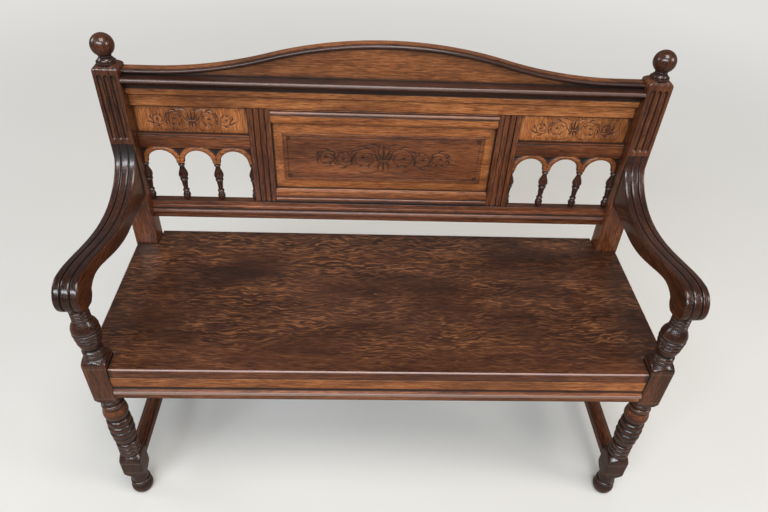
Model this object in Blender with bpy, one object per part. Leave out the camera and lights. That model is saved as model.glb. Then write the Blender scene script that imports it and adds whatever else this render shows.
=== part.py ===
"""Oak hall bench: turned front legs, sweeping reeded arms and a framed back with arcades.

The frame: +X to the sitter's left, +Y to the back, +Z up, metres.
The origin is on the floor, under the middle of the whole bench.
"""

import math

import bmesh
import bpy

# Overall sizes
WIDTH_OVER_LEGS = 1.188
LEG_FACE_TO_POST_BACK = 0.447
SEAT_OVERHANG_BEHIND = 0.008
SEAT_HEIGHT = 0.459
ARM_SEAT_HEIGHT = 0.612
POST_HEIGHT = 0.911

# Clearances
FIT = 0.0003
SOCKET_SPARE = 0.001

# Front legs
LEG_BLOCK = 0.048
LEG_SIDES = 12
LOW_BLOCK_BOTTOM = 0.066
LOW_BLOCK_TOP = 0.150
BLOCK_ABOVE_SEAT = 0.023
BLOCK_BELOW_RAIL = 0.022
BLOCK_SHOULDER = 0.014
LEG_SPIGOT_RADIUS = 0.009
LEG_SPIGOT_LENGTH = 0.018

# Turnings of the front legs, from the floor up
FOOT_REST_RADIUS = 0.019
FOOT_RADIUS = 0.0265
FOOT_SWELL_HEIGHT = 0.020
ANKLE_RADIUS = 0.019
ANKLE_RING_RADIUS = 0.023
ANKLE_RING_HEIGHT = 0.010
LOW_NECK_RADIUS = 0.0195
GROOVE_RADIUS = 0.0235
FILLET_HEIGHT = 0.004
LOWER_RING_COUNT = 3
LOWER_RING_RADIUS = 0.026
LOWER_RING_HEIGHT = 0.014
COVE_HEIGHT = 0.016
BROAD_RING_RADIUS = 0.029
BROAD_RING_HEIGHT = 0.014
UPPER_RING_COUNT = 4
UPPER_RING_RADIUS = 0.0285
UPPER_RING_HEIGHT = 0.015
BULB_RADIUS = 0.0285
BULB_SWELL_HEIGHT = 0.016
BLOCK_NECK_RADIUS = 0.0215
BLOCK_RING_RADIUS = 0.0245
BLOCK_RING_HEIGHT = 0.010
CUP_NECK_RADIUS = 0.0195
CUP_NECK_HEIGHT = 0.005
CUP_RADIUS = 0.0262
CUP_HEIGHT = 0.023
CUP_RING_RADIUS = 0.0285
CUP_RING_HEIGHT = 0.008
VASE_RADIUS = 0.0280
VASE_SHOULDER_HEIGHT = 0.006
VASE_NECK_RADIUS = 0.0165
COLLAR_RADIUS = 0.0195
COLLAR_HEIGHT = 0.011

# Back posts
POST_WIDTH = 0.052
POST_DEPTH = 0.046
POST_CAP_CHAMFER = 0.010
POST_FOOT_CHAMFER = 0.002
FLUTE_RADIUS = 0.0065
FLUTE_DEPTH = 0.004
FLUTE_PITCH = 0.0135
FLUTE_COUNT = 3
FLUTE_TOP_DROP = 0.019

# Ball finials
BALL_RADIUS = 0.0235
FINIAL_NECK_HEIGHT = 0.016
FINIAL_BASE_RADIUS = 0.020
FINIAL_BASE_HEIGHT = 0.003
FINIAL_STEP = 0.003
FINIAL_NECK_RADIUS = 0.0115
FINIAL_RING_RADIUS = 0.0130
FINIAL_RING_HEIGHT = 0.004
FINIAL_DOWEL_RADIUS = 0.006
FINIAL_DOWEL_LENGTH = 0.022

# Arms
ARM_WIDTH = 0.046
ARM_NOSE_REACH = 0.0095
ARM_NOSE_TOP_RADIUS = 0.039
ARM_NOSE_FRONT_RADIUS = 0.034
ARM_NOSE_BACK_RADIUS = 0.028
ARM_NOSE_FLAT = 0.002
ARM_ROOT_RISE = 0.123
ARM_ROOT_DEPTH = 0.132
ARM_DIP_RISE = 0.029
ARM_DIP_FROM_POST = 0.141
ARM_DIP_THICKNESS = 0.043
ARM_UNDER_FROM_POST = 0.133
ARM_ARCH_RISE = 0.030
ARM_TENON_HEIGHT = 0.090
ARM_TENON_THICKNESS = 0.012
ARM_TENON_LENGTH = 0.018
REED_DEPTH = 0.0035

# Seat frame
RAIL_THICKNESS = 0.022
RAIL_HEIGHT = 0.063
RAIL_SETBACK = 0.0025
RAIL_BEAD_HEIGHT = 0.020
RAIL_BEAD_REACH = 0.006
RAIL_FILLET_HEIGHT = 0.015
RAIL_TENON_THICKNESS = 0.008
RAIL_TENON_LENGTH = 0.020
RAIL_TENON_SHOULDER = 0.008
SEAT_THICKNESS = 0.024
SEAT_TONGUE = 0.006
BEARER_WIDTH = 0.034
BEARER_HEIGHT = 0.030
BEARER_OFFSET = 0.190
BEARER_TENON = 0.008
CORNER_BLOCK_REACH = 0.052
CORNER_BLOCK_HEIGHT = 0.034

# Side stretchers
STRETCHER_WIDTH = 0.034
STRETCHER_HEIGHT = 0.026
STRETCHER_CENTRE_HEIGHT = 0.108
STRETCHER_TENON_THICKNESS = 0.010
STRETCHER_TENON_HEIGHT = 0.016
STRETCHER_QUIRK_DEPTH = 0.009
STRETCHER_QUIRK_WIDTH = 0.010

# Back frame
FRAME_THICKNESS = 0.016
FRAME_BACK_INSET = 0.0015
FRAME_TENON_THICKNESS = 0.006
FRAME_TENON_LENGTH = 0.022
FRAME_TENON_SHOULDER = 0.006
BOTTOM_RAIL_ABOVE_SEAT = 0.066
BOTTOM_RAIL_HEIGHT = 0.046
BOTTOM_RAIL_THICKNESS = 0.020
BOTTOM_BEAD_REACH = 0.0065
MID_RAIL_HEIGHT = 0.032
TOP_RAIL_HEIGHT = 0.067
TOP_RAIL_DROP = 0.031
SIDE_PANEL_SHARE = 0.2769
MUNTIN_INNER_X = 0.250
MUNTIN_WIDTH = 0.0495
MUNTIN_REED_COUNT = 2
MUNTIN_REED_DEPTH = 0.003

# Crest and cornice
CREST_END_HEIGHT = 0.018
CREST_RISE = 0.067
CREST_END_FLAT = 0.050
CREST_THICKNESS = 0.016
CREST_BEAD_HEIGHT = 0.012
CREST_BEAD_REACH = 0.008
CREST_BEAD_ROUND = 0.003
CORNICE_REACH = 0.0285
CORNICE_LAP = 0.005
CORNICE_HEIGHT = 0.041
CORNICE_NOSE_HEIGHT = 0.011
CORNICE_FILLET_HEIGHT = 0.013
CORNICE_FILLET_REACH = 0.009
CORNICE_COVE_STOP = 0.005
CORNICE_ROUND = 0.003
CREST_DOWEL_RADIUS = 0.004
CREST_DOWEL_LENGTH = 0.030
CREST_DOWEL_OFFSETS = (-0.360, -0.120, 0.120, 0.360)

# Panels
PANEL_TONGUE = 0.007
PANEL_TONGUE_THICKNESS = 0.005
PANEL_BACK_INSET = 0.003
FIELD_PROUD = 0.005
SIDE_FIELD_PROUD = 0.002
SIDE_PANEL_BEVEL = 0.003
FIELD_STEP = 0.0015
BEVEL_WIDTH = 0.024
CENTRE_MOULDING_TOP_HEIGHT = 0.036
CENTRE_MOULDING_BOTTOM_HEIGHT = 0.037
CENTRE_MOULDING_BEAD = 0.010
CENTRE_MOULDING_REACH = 0.003
CENTRE_MOULDING_QUIRK = 0.004
CENTRE_MOULDING_BEVEL = 0.006

# Arcades and spindles
ARCADE_BAYS = 3
ARCADE_THICKNESS = 0.011
ARCADE_SETBACK = 0.003
ARCH_CROWN_HEIGHT = 0.0107
ARCADE_FOOT_WIDTH = 0.017
ARCADE_TONGUE = 0.006
ARCADE_TONGUE_THICKNESS = 0.006
ARCH_SEGMENTS = 12
SPINDLE_SIDES = 8
SPINDLE_FOOT_RADIUS = 0.0088
SPINDLE_FOOT_SHARE = 0.10
SPINDLE_NECK_RADIUS = 0.0050
SPINDLE_RING_RADIUS = 0.0076
SPINDLE_RING_SHARE = 0.07
SPINDLE_SHAFT_RADIUS = 0.0074
SPINDLE_SHAFT_SHARE = 0.24
SPINDLE_WAIST_RADIUS = 0.0092
SPINDLE_BULGE_RADIUS = 0.0108
SPINDLE_BULGE_SHARE = 0.08
SPINDLE_PIN_RADIUS = 0.003
SPINDLE_PIN_LENGTH = 0.008

# Screws and pellets
SCREW_RADIUS = 0.0022
SCREW_HEAD_RADIUS = 0.0045
SCREW_HEAD_HEIGHT = 0.003
SCREW_SIDES = 8
SEAT_SCREW_BITE = 0.012
SEAT_SCREW_OFFSETS = (-0.120, 0.120)
ARM_SCREW_BITE = 0.028
PELLET_RADIUS = 0.006
PELLET_DEPTH = 0.005

# Places that follow from the sizes
arm_root_top = ARM_SEAT_HEIGHT + ARM_ROOT_RISE
arm_root_bottom = arm_root_top - ARM_ROOT_DEPTH
arm_dip_height = ARM_SEAT_HEIGHT + ARM_DIP_RISE
arm_under_height = arm_dip_height - ARM_DIP_THICKNESS
arm_screw_height = arm_root_bottom + ARM_ROOT_DEPTH / 2
leg_x = WIDTH_OVER_LEGS / 2 - LEG_BLOCK / 2
leg_inner_x = leg_x - LEG_BLOCK / 2
post_inner_x = leg_x - POST_WIDTH / 2
post_outer_x = leg_x + POST_WIDTH / 2
overall_depth = ARM_NOSE_REACH + LEG_FACE_TO_POST_BACK + SEAT_OVERHANG_BEHIND
leg_front_y = -overall_depth / 2 + ARM_NOSE_REACH
leg_back_y = leg_front_y + LEG_BLOCK
leg_y = leg_front_y + LEG_BLOCK / 2
post_back_y = leg_front_y + LEG_FACE_TO_POST_BACK
post_front_y = post_back_y - POST_DEPTH
post_y = post_back_y - POST_DEPTH / 2
seat_back_y = post_back_y + SEAT_OVERHANG_BEHIND
seat_under = SEAT_HEIGHT - SEAT_THICKNESS
rail_bottom = seat_under - RAIL_HEIGHT
front_rail_back_y = leg_front_y + RAIL_SETBACK + RAIL_THICKNESS
rear_rail_front_y = post_back_y - RAIL_SETBACK - RAIL_THICKNESS
side_rail_outer_x = WIDTH_OVER_LEGS / 2 - RAIL_SETBACK
side_rail_inner_x = side_rail_outer_x - RAIL_THICKNESS
frame_back_y = post_back_y - FRAME_BACK_INSET
frame_front_y = frame_back_y - FRAME_THICKNESS
frame_y = frame_back_y - FRAME_THICKNESS / 2
muntin_outer_x = MUNTIN_INNER_X + MUNTIN_WIDTH
panel_back_y = frame_back_y - PANEL_BACK_INSET
panel_front_y = panel_back_y - PANEL_TONGUE_THICKNESS
arcade_front_y = frame_front_y + ARCADE_SETBACK
arcade_y = arcade_front_y + ARCADE_THICKNESS / 2
bay_width = (post_inner_x - muntin_outer_x) / ARCADE_BAYS
crest_curve_half = post_inner_x - CREST_END_FLAT
bottom_rail_bottom = SEAT_HEIGHT + BOTTOM_RAIL_ABOVE_SEAT
bottom_rail_top = bottom_rail_bottom + BOTTOM_RAIL_HEIGHT
top_rail_top = POST_HEIGHT - TOP_RAIL_DROP
top_rail_bottom = top_rail_top - TOP_RAIL_HEIGHT
mid_rail_top = top_rail_bottom - SIDE_PANEL_SHARE * (top_rail_bottom - bottom_rail_top)
mid_rail_bottom = mid_rail_top - MID_RAIL_HEIGHT
arch_radius = (bay_width - ARCADE_FOOT_WIDTH) / 2
arcade_spring = mid_rail_bottom - arch_radius - ARCH_CROWN_HEIGHT
flute_bottom = mid_rail_top
flute_top = POST_HEIGHT - FLUTE_TOP_DROP


def clear_scene():
    for item in list(bpy.data.objects):
        bpy.data.objects.remove(item, do_unlink=True)


def finish(name, colour, roughness, metallic=0.0):
    """One Principled material for one piece."""
    material = bpy.data.materials.new(name + "_finish")
    material.use_nodes = True
    shader = material.node_tree.nodes["Principled BSDF"]
    shader.inputs["Base Color"].default_value = (*colour, 1.0)
    shader.inputs["Roughness"].default_value = roughness
    shader.inputs["Metallic"].default_value = metallic
    return material


DARK_OAK = ((0.085, 0.028, 0.012), 0.28, 0.0)
SEAT_OAK = ((0.120, 0.042, 0.018), 0.25, 0.0)
GOLDEN_OAK = ((0.300, 0.120, 0.035), 0.35, 0.0)
HIDDEN_OAK = ((0.350, 0.220, 0.110), 0.70, 0.0)
STEEL = ((0.350, 0.340, 0.330), 0.40, 1.0)


def place(name, bm, look, smooth=False):
    """Turns a finished bmesh into a named object with its own material."""
    bmesh.ops.remove_doubles(bm, verts=bm.verts, dist=0.00001)
    bmesh.ops.recalc_face_normals(bm, faces=bm.faces)
    mesh = bpy.data.meshes.new(name)
    bm.to_mesh(mesh)
    bm.free()
    mesh.materials.append(finish(name, *look))
    if smooth:
        mesh.shade_smooth()
        mesh.set_sharp_from_angle(angle=math.radians(40))
    piece = bpy.data.objects.new(name, mesh)
    bpy.context.scene.collection.objects.link(piece)
    return piece


def block(x, y, z):
    """A box as its three ranges, each put in rising order."""
    return tuple(sorted(x)), tuple(sorted(y)), tuple(sorted(z))


def grown(box, by=FIT):
    return tuple((low - by, high + by) for low, high in box)


def add_block(bm, box):
    (x0, x1), (y0, y1), (z0, z1) = box
    made = bmesh.ops.create_cube(bm, size=1.0)
    for vert in made["verts"]:
        vert.co.x = x1 if vert.co.x > 0 else x0
        vert.co.y = y1 if vert.co.y > 0 else y0
        vert.co.z = z1 if vert.co.z > 0 else z0


def add_rod(bm, centre, axis, low, high, radius, sides):
    """A plain round rod along one axis; centre gives the other two coordinates in order."""
    others = [i for i in range(3) if i != axis]
    rings = []
    for along in (low, high):
        ring = []
        for i in range(sides):
            turn = 2 * math.pi * (i + 0.5) / sides
            point = [0.0, 0.0, 0.0]
            point[axis] = along
            point[others[0]] = centre[0] + radius * math.cos(turn)
            point[others[1]] = centre[1] + radius * math.sin(turn)
            ring.append(bm.verts.new(point))
        rings.append(ring)
    close_loft(bm, rings)


def close_loft(bm, rings):
    """Skins a row of equal rings and closes both ends."""
    count = len(rings[0])
    for lower, upper in zip(rings[:-1], rings[1:]):
        for i in range(count):
            j = (i + 1) % count
            bm.faces.new((lower[i], lower[j], upper[j], upper[i]))
    bm.faces.new(list(reversed(rings[0])))
    bm.faces.new(rings[-1])


def loft(rings_of_points):
    bm = bmesh.new()
    close_loft(bm, [[bm.verts.new(point) for point in ring] for ring in rings_of_points])
    return bm


def extruded(outline, axis, low, high):
    """A flat outline pushed along one axis; its points give the other two axes in order."""
    others = [i for i in range(3) if i != axis]
    rings = []
    for along in (low, high):
        ring = []
        for first, second in outline:
            point = [0.0, 0.0, 0.0]
            point[axis] = along
            point[others[0]] = first
            point[others[1]] = second
            ring.append(point)
        rings.append(ring)
    return loft(rings)


def shape_with(piece, bm, operation):
    """Adds or cuts a hidden helper shape with an exact Boolean."""
    helper = place(f"{piece.name}_{operation.lower()}_{len(piece.modifiers)}", bm, HIDDEN_OAK)
    helper.hide_render = True
    helper.display_type = "WIRE"
    modifier = piece.modifiers.new(operation.title(), "BOOLEAN")
    modifier.operation = operation
    modifier.solver = "EXACT"
    modifier.object = helper


def add_blocks(piece, boxes):
    bm = bmesh.new()
    for box in boxes:
        add_block(bm, box)
    shape_with(piece, bm, "UNION")


def cut_blocks(piece, boxes):
    """Cuts sockets that clear the given tenons or tongues all round."""
    bm = bmesh.new()
    for box in boxes:
        add_block(bm, grown(box))
    shape_with(piece, bm, "DIFFERENCE")


def cut_rods(piece, rods):
    """Cuts round holes; a rod is centre, axis, low, high, radius and sides."""
    bm = bmesh.new()
    for centre, axis, low, high, radius, sides in rods:
        add_rod(bm, centre, axis, low - FIT, high + FIT, radius + FIT, sides)
    shape_with(piece, bm, "DIFFERENCE")


def side_name(side):
    return "right" if side > 0 else "left"


def bezier(start, first, second, end, count):
    """Points along a cubic curve, its start left out."""
    points = []
    for i in range(1, count + 1):
        t = i / count
        s = 1 - t
        weights = (s ** 3, 3 * s * s * t, 3 * s * t * t, t ** 3)
        points.append(tuple(
            sum(weight * corner[k] for weight, corner in zip(weights, (start, first, second, end)))
            for k in range(2)))
    return points


def arc(centre, radius, start, end, count):
    """Points along an arc from one angle to another in degrees, its start left out."""
    points = []
    for i in range(1, count + 1):
        turn = math.radians(start + (end - start) * i / count)
        points.append((centre[0] + radius * math.cos(turn), centre[1] + radius * math.sin(turn)))
    return points


def turned_profile(bottom, top, start_radius, steps):
    """Radius and height pairs from a list of turned shapes.

    A step is its kind, its height and its radius; the one step with no height takes what is left.
    """
    spare = (top - bottom) - sum(height for _, height, _ in steps if height is not None)
    height_now = bottom
    radius_now = start_radius
    profile = [(radius_now, height_now)]
    for kind, height, radius in steps:
        height = spare if height is None else height
        if kind == "bead":
            for share in (0.28, 0.72):
                profile.append((radius, height_now + share * height))
            profile.append((radius_now, height_now + height))
        elif kind == "ease":
            for share in (0.3, 0.7, 1.0):
                blend = (1 - math.cos(math.pi * share)) / 2
                profile.append((radius_now + (radius - radius_now) * blend, height_now + share * height))
            radius_now = radius
        elif kind == "swell":
            for share in (0.45, 1.0):
                blend = math.sin(math.pi * share / 2)
                profile.append((radius_now + (radius - radius_now) * blend, height_now + share * height))
            radius_now = radius
        elif kind == "dome":
            for share in (0.45, 0.8, 1.0):
                blend = 1 - math.sqrt(1 - share ** 2)
                profile.append((radius_now + (radius - radius_now) * blend, height_now + share * height))
            radius_now = radius
        elif kind == "taper":
            for share in (0.55, 1.0):
                blend = 1 - math.cos(math.pi * share / 2)
                profile.append((radius_now + (radius - radius_now) * blend, height_now + share * height))
            radius_now = radius
        else:
            profile.append((radius, height_now + height))
            radius_now = radius
        height_now += height
    return profile


def turned_ring(radius, height, centre, sides, half_square=None):
    """One ring of a turned piece, held inside a square where it is a block."""
    ring = []
    for i in range(sides):
        turn = 2 * math.pi * (i + 0.5) / sides
        reach = radius
        if half_square is not None:
            reach = min(radius, half_square / max(abs(math.cos(turn)), abs(math.sin(turn))))
        ring.append((centre[0] + reach * math.cos(turn), centre[1] + reach * math.sin(turn), height))
    return ring


def block_profile(bottom, top, neck):
    """Radius and height pairs of a square block with turned shoulders at both ends."""
    corner = LEG_BLOCK / math.sqrt(2)
    profile = []
    for share in (0.0, 0.5, 1.0):
        blend = math.sin(math.pi * share / 2)
        profile.append((neck + (corner - neck) * blend, bottom + BLOCK_SHOULDER * share))
    return profile + [(radius, bottom + top - height) for radius, height in reversed(profile)]


def side_rail_tenons(side):
    """Tenons of one side rail: into the leg, then into the post."""
    centre = side_rail_outer_x - RAIL_THICKNESS / 2
    x = (side * (centre - RAIL_TENON_THICKNESS / 2), side * (centre + RAIL_TENON_THICKNESS / 2))
    z = (rail_bottom + RAIL_TENON_SHOULDER, seat_under - RAIL_TENON_SHOULDER)
    return [block(x, (leg_back_y - RAIL_TENON_LENGTH, leg_back_y + RAIL_THICKNESS), z),
            block(x, (post_front_y - RAIL_THICKNESS, post_front_y + RAIL_TENON_LENGTH), z)]


def long_rail_tenon(side, receiver_x, rail_front_y):
    """Tenon at one end of the front or the rear seat rail."""
    centre = rail_front_y + RAIL_THICKNESS / 2
    y = (centre - RAIL_TENON_THICKNESS / 2, centre + RAIL_TENON_THICKNESS / 2)
    z = (rail_bottom + RAIL_TENON_SHOULDER, seat_under - RAIL_TENON_SHOULDER)
    return block((side * (receiver_x - RAIL_THICKNESS), side * (receiver_x + RAIL_TENON_LENGTH)), y, z)


def front_rail_tenon(side):
    return long_rail_tenon(side, leg_inner_x, leg_front_y + RAIL_SETBACK)


def rear_rail_tenon(side):
    return long_rail_tenon(side, post_inner_x, rear_rail_front_y)


def stretcher_tenons(side):
    half = STRETCHER_TENON_THICKNESS / 2
    x = (side * (leg_x - half), side * (leg_x + half))
    z = (STRETCHER_CENTRE_HEIGHT - STRETCHER_TENON_HEIGHT / 2,
         STRETCHER_CENTRE_HEIGHT + STRETCHER_TENON_HEIGHT / 2)
    return [block(x, (leg_back_y - RAIL_TENON_LENGTH, leg_back_y + RAIL_THICKNESS), z),
            block(x, (post_front_y - RAIL_THICKNESS, post_front_y + RAIL_TENON_LENGTH), z)]


def arm_tenon(side):
    half = ARM_TENON_THICKNESS / 2
    middle = (arm_root_top + arm_root_bottom) / 2
    return block((side * (leg_x - half), side * (leg_x + half)),
                 (post_front_y - ARM_TENON_LENGTH, post_front_y + ARM_TENON_LENGTH),
                 (middle - ARM_TENON_HEIGHT / 2, middle + ARM_TENON_HEIGHT / 2))


def frame_tenon(inner_x, outer_x, low, high):
    """A tenon of the back frame along X, from inside the rail to its end in the socket."""
    half = FRAME_TENON_THICKNESS / 2
    return block((inner_x, outer_x), (frame_y - half, frame_y + half), (low, high))


def back_rail_tenon(side, low, high):
    """Tenon of a full-width back rail into one post."""
    return frame_tenon(side * (post_inner_x - FRAME_TENON_LENGTH), side * (post_inner_x + FRAME_TENON_LENGTH),
                       low + FRAME_TENON_SHOULDER, high - FRAME_TENON_SHOULDER)


def crest_tenon(side):
    high = top_rail_top + CREST_END_HEIGHT - CREST_BEAD_REACH
    return frame_tenon(side * (post_inner_x - FRAME_TENON_LENGTH / 2),
                       side * (post_inner_x + FRAME_TENON_LENGTH / 2), top_rail_top + FIT, high)


def mid_rail_tenons(side):
    """Tenons of one mid rail: into the muntin, then into the post."""
    low = mid_rail_bottom + FRAME_TENON_SHOULDER
    high = mid_rail_top - FRAME_TENON_SHOULDER - PANEL_TONGUE
    return [frame_tenon(side * (muntin_outer_x - FRAME_TENON_LENGTH / 2),
                        side * (muntin_outer_x + FRAME_TENON_LENGTH), low, high),
            frame_tenon(side * (post_inner_x - FRAME_TENON_LENGTH),
                        side * (post_inner_x + FRAME_TENON_LENGTH), low, high)]


def muntin_tenons(side):
    """Tenons of one muntin: into the bottom rail, then into the top rail."""
    half = FRAME_TENON_THICKNESS / 2
    x = (side * (MUNTIN_INNER_X + FRAME_TENON_SHOULDER + PANEL_TONGUE),
         side * (muntin_outer_x - FRAME_TENON_SHOULDER - PANEL_TONGUE))
    y = (frame_y - half, frame_y + half)
    return [block(x, y, (bottom_rail_top - FRAME_TENON_LENGTH, bottom_rail_top + FRAME_TENON_LENGTH)),
            block(x, y, (top_rail_bottom - FRAME_TENON_LENGTH, top_rail_bottom + FRAME_TENON_LENGTH))]


def centre_panel_block():
    """The space of the centre panel's tongue, which runs into all four neighbours."""
    reach = MUNTIN_INNER_X + PANEL_TONGUE
    return block((-reach, reach), (panel_front_y, panel_back_y),
                 (bottom_rail_top - PANEL_TONGUE, top_rail_bottom + PANEL_TONGUE))


def side_panel_block(side):
    return block((side * (muntin_outer_x - PANEL_TONGUE), side * (post_inner_x + PANEL_TONGUE)),
                 (panel_front_y, panel_back_y),
                 (mid_rail_top - PANEL_TONGUE, top_rail_bottom + PANEL_TONGUE))


def arcade_tongue(side):
    half = ARCADE_TONGUE_THICKNESS / 2
    return block((side * (muntin_outer_x + FIT), side * (post_inner_x - FIT)),
                 (arcade_y - half, arcade_y + half),
                 (mid_rail_bottom - ARCADE_TONGUE, mid_rail_bottom + ARCADE_TONGUE))


def spindle_places(side):
    """Axis of each full spindle of one arcade."""
    return [side * (muntin_outer_x + bay_width * i) for i in range(1, ARCADE_BAYS)]


def make_leg(side):
    """Front leg, turned from the floor to the arm, with two square blocks and a top spigot."""
    centre = (side * leg_x, leg_y)
    foot = turned_profile(0.0, LOW_BLOCK_BOTTOM, FOOT_REST_RADIUS, [
        ("swell", FOOT_SWELL_HEIGHT, FOOT_RADIUS), ("taper", None, ANKLE_RADIUS),
        ("bead", ANKLE_RING_HEIGHT, ANKLE_RING_RADIUS), ("line", 2 * FILLET_HEIGHT, LOW_NECK_RADIUS)])
    low_block = block_profile(LOW_BLOCK_BOTTOM, LOW_BLOCK_TOP, LOW_NECK_RADIUS)
    high_block_bottom = rail_bottom - BLOCK_BELOW_RAIL
    high_block_top = SEAT_HEIGHT + BLOCK_ABOVE_SEAT
    lower = turned_profile(LOW_BLOCK_TOP, high_block_bottom, BLOCK_NECK_RADIUS, [
        ("line", FILLET_HEIGHT, GROOVE_RADIUS),
        *[("bead", LOWER_RING_HEIGHT, LOWER_RING_RADIUS)] * LOWER_RING_COUNT,
        ("ease", COVE_HEIGHT, GROOVE_RADIUS), ("bead", BROAD_RING_HEIGHT, BROAD_RING_RADIUS),
        *[("bead", UPPER_RING_HEIGHT, UPPER_RING_RADIUS)] * UPPER_RING_COUNT,
        ("line", FILLET_HEIGHT, GROOVE_RADIUS), ("swell", BULB_SWELL_HEIGHT, BULB_RADIUS),
        ("dome", None, BLOCK_NECK_RADIUS), *[("bead", BLOCK_RING_HEIGHT, BLOCK_RING_RADIUS)] * 2,
        ("line", FILLET_HEIGHT, BLOCK_NECK_RADIUS)])
    high_block = block_profile(high_block_bottom, high_block_top, BLOCK_NECK_RADIUS)
    upper = turned_profile(high_block_top, ARM_SEAT_HEIGHT, BLOCK_NECK_RADIUS, [
        ("bead", BLOCK_RING_HEIGHT, BLOCK_RING_RADIUS), ("bead", BLOCK_RING_HEIGHT, BLOCK_RING_RADIUS),
        ("line", CUP_NECK_HEIGHT, CUP_NECK_RADIUS), ("swell", CUP_HEIGHT, CUP_RADIUS),
        ("bead", CUP_RING_HEIGHT, CUP_RING_RADIUS), ("bead", CUP_RING_HEIGHT, CUP_RING_RADIUS),
        ("swell", VASE_SHOULDER_HEIGHT, VASE_RADIUS), ("dome", None, VASE_NECK_RADIUS),
        *[("bead", COLLAR_HEIGHT, COLLAR_RADIUS)] * 3])
    half = LEG_BLOCK / 2
    outline = [(r, z, None) for r, z in foot[:-1]]
    outline += [(r, z, half) for r, z in low_block]
    outline += [(r, z, None) for r, z in lower[1:-1]]
    outline += [(r, z, half) for r, z in high_block]
    outline += [(r, z, None) for r, z in upper[1:]]
    outline[-1] = (outline[-1][0], ARM_SEAT_HEIGHT - FIT, None)
    outline += [(LEG_SPIGOT_RADIUS, ARM_SEAT_HEIGHT - FIT, None),
                (LEG_SPIGOT_RADIUS, ARM_SEAT_HEIGHT + LEG_SPIGOT_LENGTH, None)]
    bm = loft([turned_ring(r, z, centre, LEG_SIDES, square) for r, z, square in outline])
    leg = place(f"front_leg_{side_name(side)}", bm, DARK_OAK, smooth=True)
    cut_blocks(leg, [front_rail_tenon(side), side_rail_tenons(side)[0], stretcher_tenons(side)[0]])
    return leg


def flute_rings(x):
    """A round-ended groove cutter, standing along the post's front face."""
    depth_y = post_front_y - FLUTE_RADIUS + FLUTE_DEPTH
    rings = []
    for along, share in ((0.0, 0.2), (0.3, 0.75), (1.0, 1.0)):
        rings.append((flute_bottom + along * FLUTE_RADIUS, share * FLUTE_RADIUS))
    rings += [(flute_bottom + flute_top - z, radius) for z, radius in reversed(rings)]
    return [turned_ring(radius, z, (x, depth_y), SPINDLE_SIDES) for z, radius in rings]


def make_post(side):
    """Back post, plain leg below and fluted pilaster above, with a chamfered top."""
    name = f"back_post_{side_name(side)}"
    x = side * leg_x
    half_x = POST_WIDTH / 2
    half_y = POST_DEPTH / 2
    rings = []
    for z, inset in ((0.0, POST_FOOT_CHAMFER), (POST_FOOT_CHAMFER, 0.0), (POST_HEIGHT - POST_CAP_CHAMFER, 0.0),
                     (POST_HEIGHT, POST_CAP_CHAMFER / 2)):
        rings.append([(x + i * (half_x - inset), post_y + j * (half_y - inset), z)
                      for i, j in ((-1, -1), (1, -1), (1, 1), (-1, 1))])
    post = place(name, loft(rings), DARK_OAK)
    cut_blocks(post, [
        side_rail_tenons(side)[1], rear_rail_tenon(side), stretcher_tenons(side)[1], arm_tenon(side),
        back_rail_tenon(side, bottom_rail_bottom, bottom_rail_top),
        back_rail_tenon(side, top_rail_bottom + PANEL_TONGUE, top_rail_top),
        crest_tenon(side), mid_rail_tenons(side)[1]])
    cut_blocks(post, [side_panel_block(side)])
    shape = bmesh.new()
    for i in range(FLUTE_COUNT):
        offset = (i - (FLUTE_COUNT - 1) / 2) * FLUTE_PITCH
        close_loft(shape, [[shape.verts.new(point) for point in ring] for ring in flute_rings(x + offset)])
    shape_with(post, shape, "DIFFERENCE")
    cut_rods(post, [
        ((x, post_y), 2, POST_HEIGHT - FINIAL_DOWEL_LENGTH, POST_HEIGHT + SOCKET_SPARE,
         FINIAL_DOWEL_RADIUS, LEG_SIDES),
        ((x, arm_screw_height), 1, post_front_y, post_back_y - PELLET_DEPTH, SCREW_RADIUS, SCREW_SIDES)])
    cut_rods(post, [((x, arm_screw_height), 1, post_back_y - PELLET_DEPTH - SCREW_HEAD_HEIGHT,
                     post_back_y + SOCKET_SPARE, PELLET_RADIUS, SCREW_SIDES)])
    return post


def make_finial(side):
    """Ball finial with a ringed neck and a dowel into the post."""
    centre = (side * leg_x, post_y)
    ball_centre = POST_HEIGHT + FINIAL_NECK_HEIGHT + BALL_RADIUS * 0.86
    profile = [(FINIAL_DOWEL_RADIUS, POST_HEIGHT - FINIAL_DOWEL_LENGTH),
               (FINIAL_DOWEL_RADIUS, POST_HEIGHT + FIT)]
    profile += turned_profile(POST_HEIGHT + FIT, POST_HEIGHT + FINIAL_NECK_HEIGHT, FINIAL_BASE_RADIUS, [
        ("line", FINIAL_BASE_HEIGHT, FINIAL_BASE_RADIUS),
        ("line", FINIAL_STEP / 3, FINIAL_BASE_RADIUS - FINIAL_STEP), ("taper", None, FINIAL_NECK_RADIUS),
        ("bead", FINIAL_RING_HEIGHT, FINIAL_RING_RADIUS)])
    for i in range(1, 8):
        turn = math.radians(-62 + 152 * i / 8)
        profile.append((BALL_RADIUS * math.cos(turn), ball_centre + BALL_RADIUS * math.sin(turn)))
    profile.append((BALL_RADIUS * 0.12, ball_centre + BALL_RADIUS * 0.993))
    bm = loft([turned_ring(r, z, centre, LEG_SIDES) for r, z in profile])
    return place(f"ball_finial_{side_name(side)}", bm, DARK_OAK, smooth=True)


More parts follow.
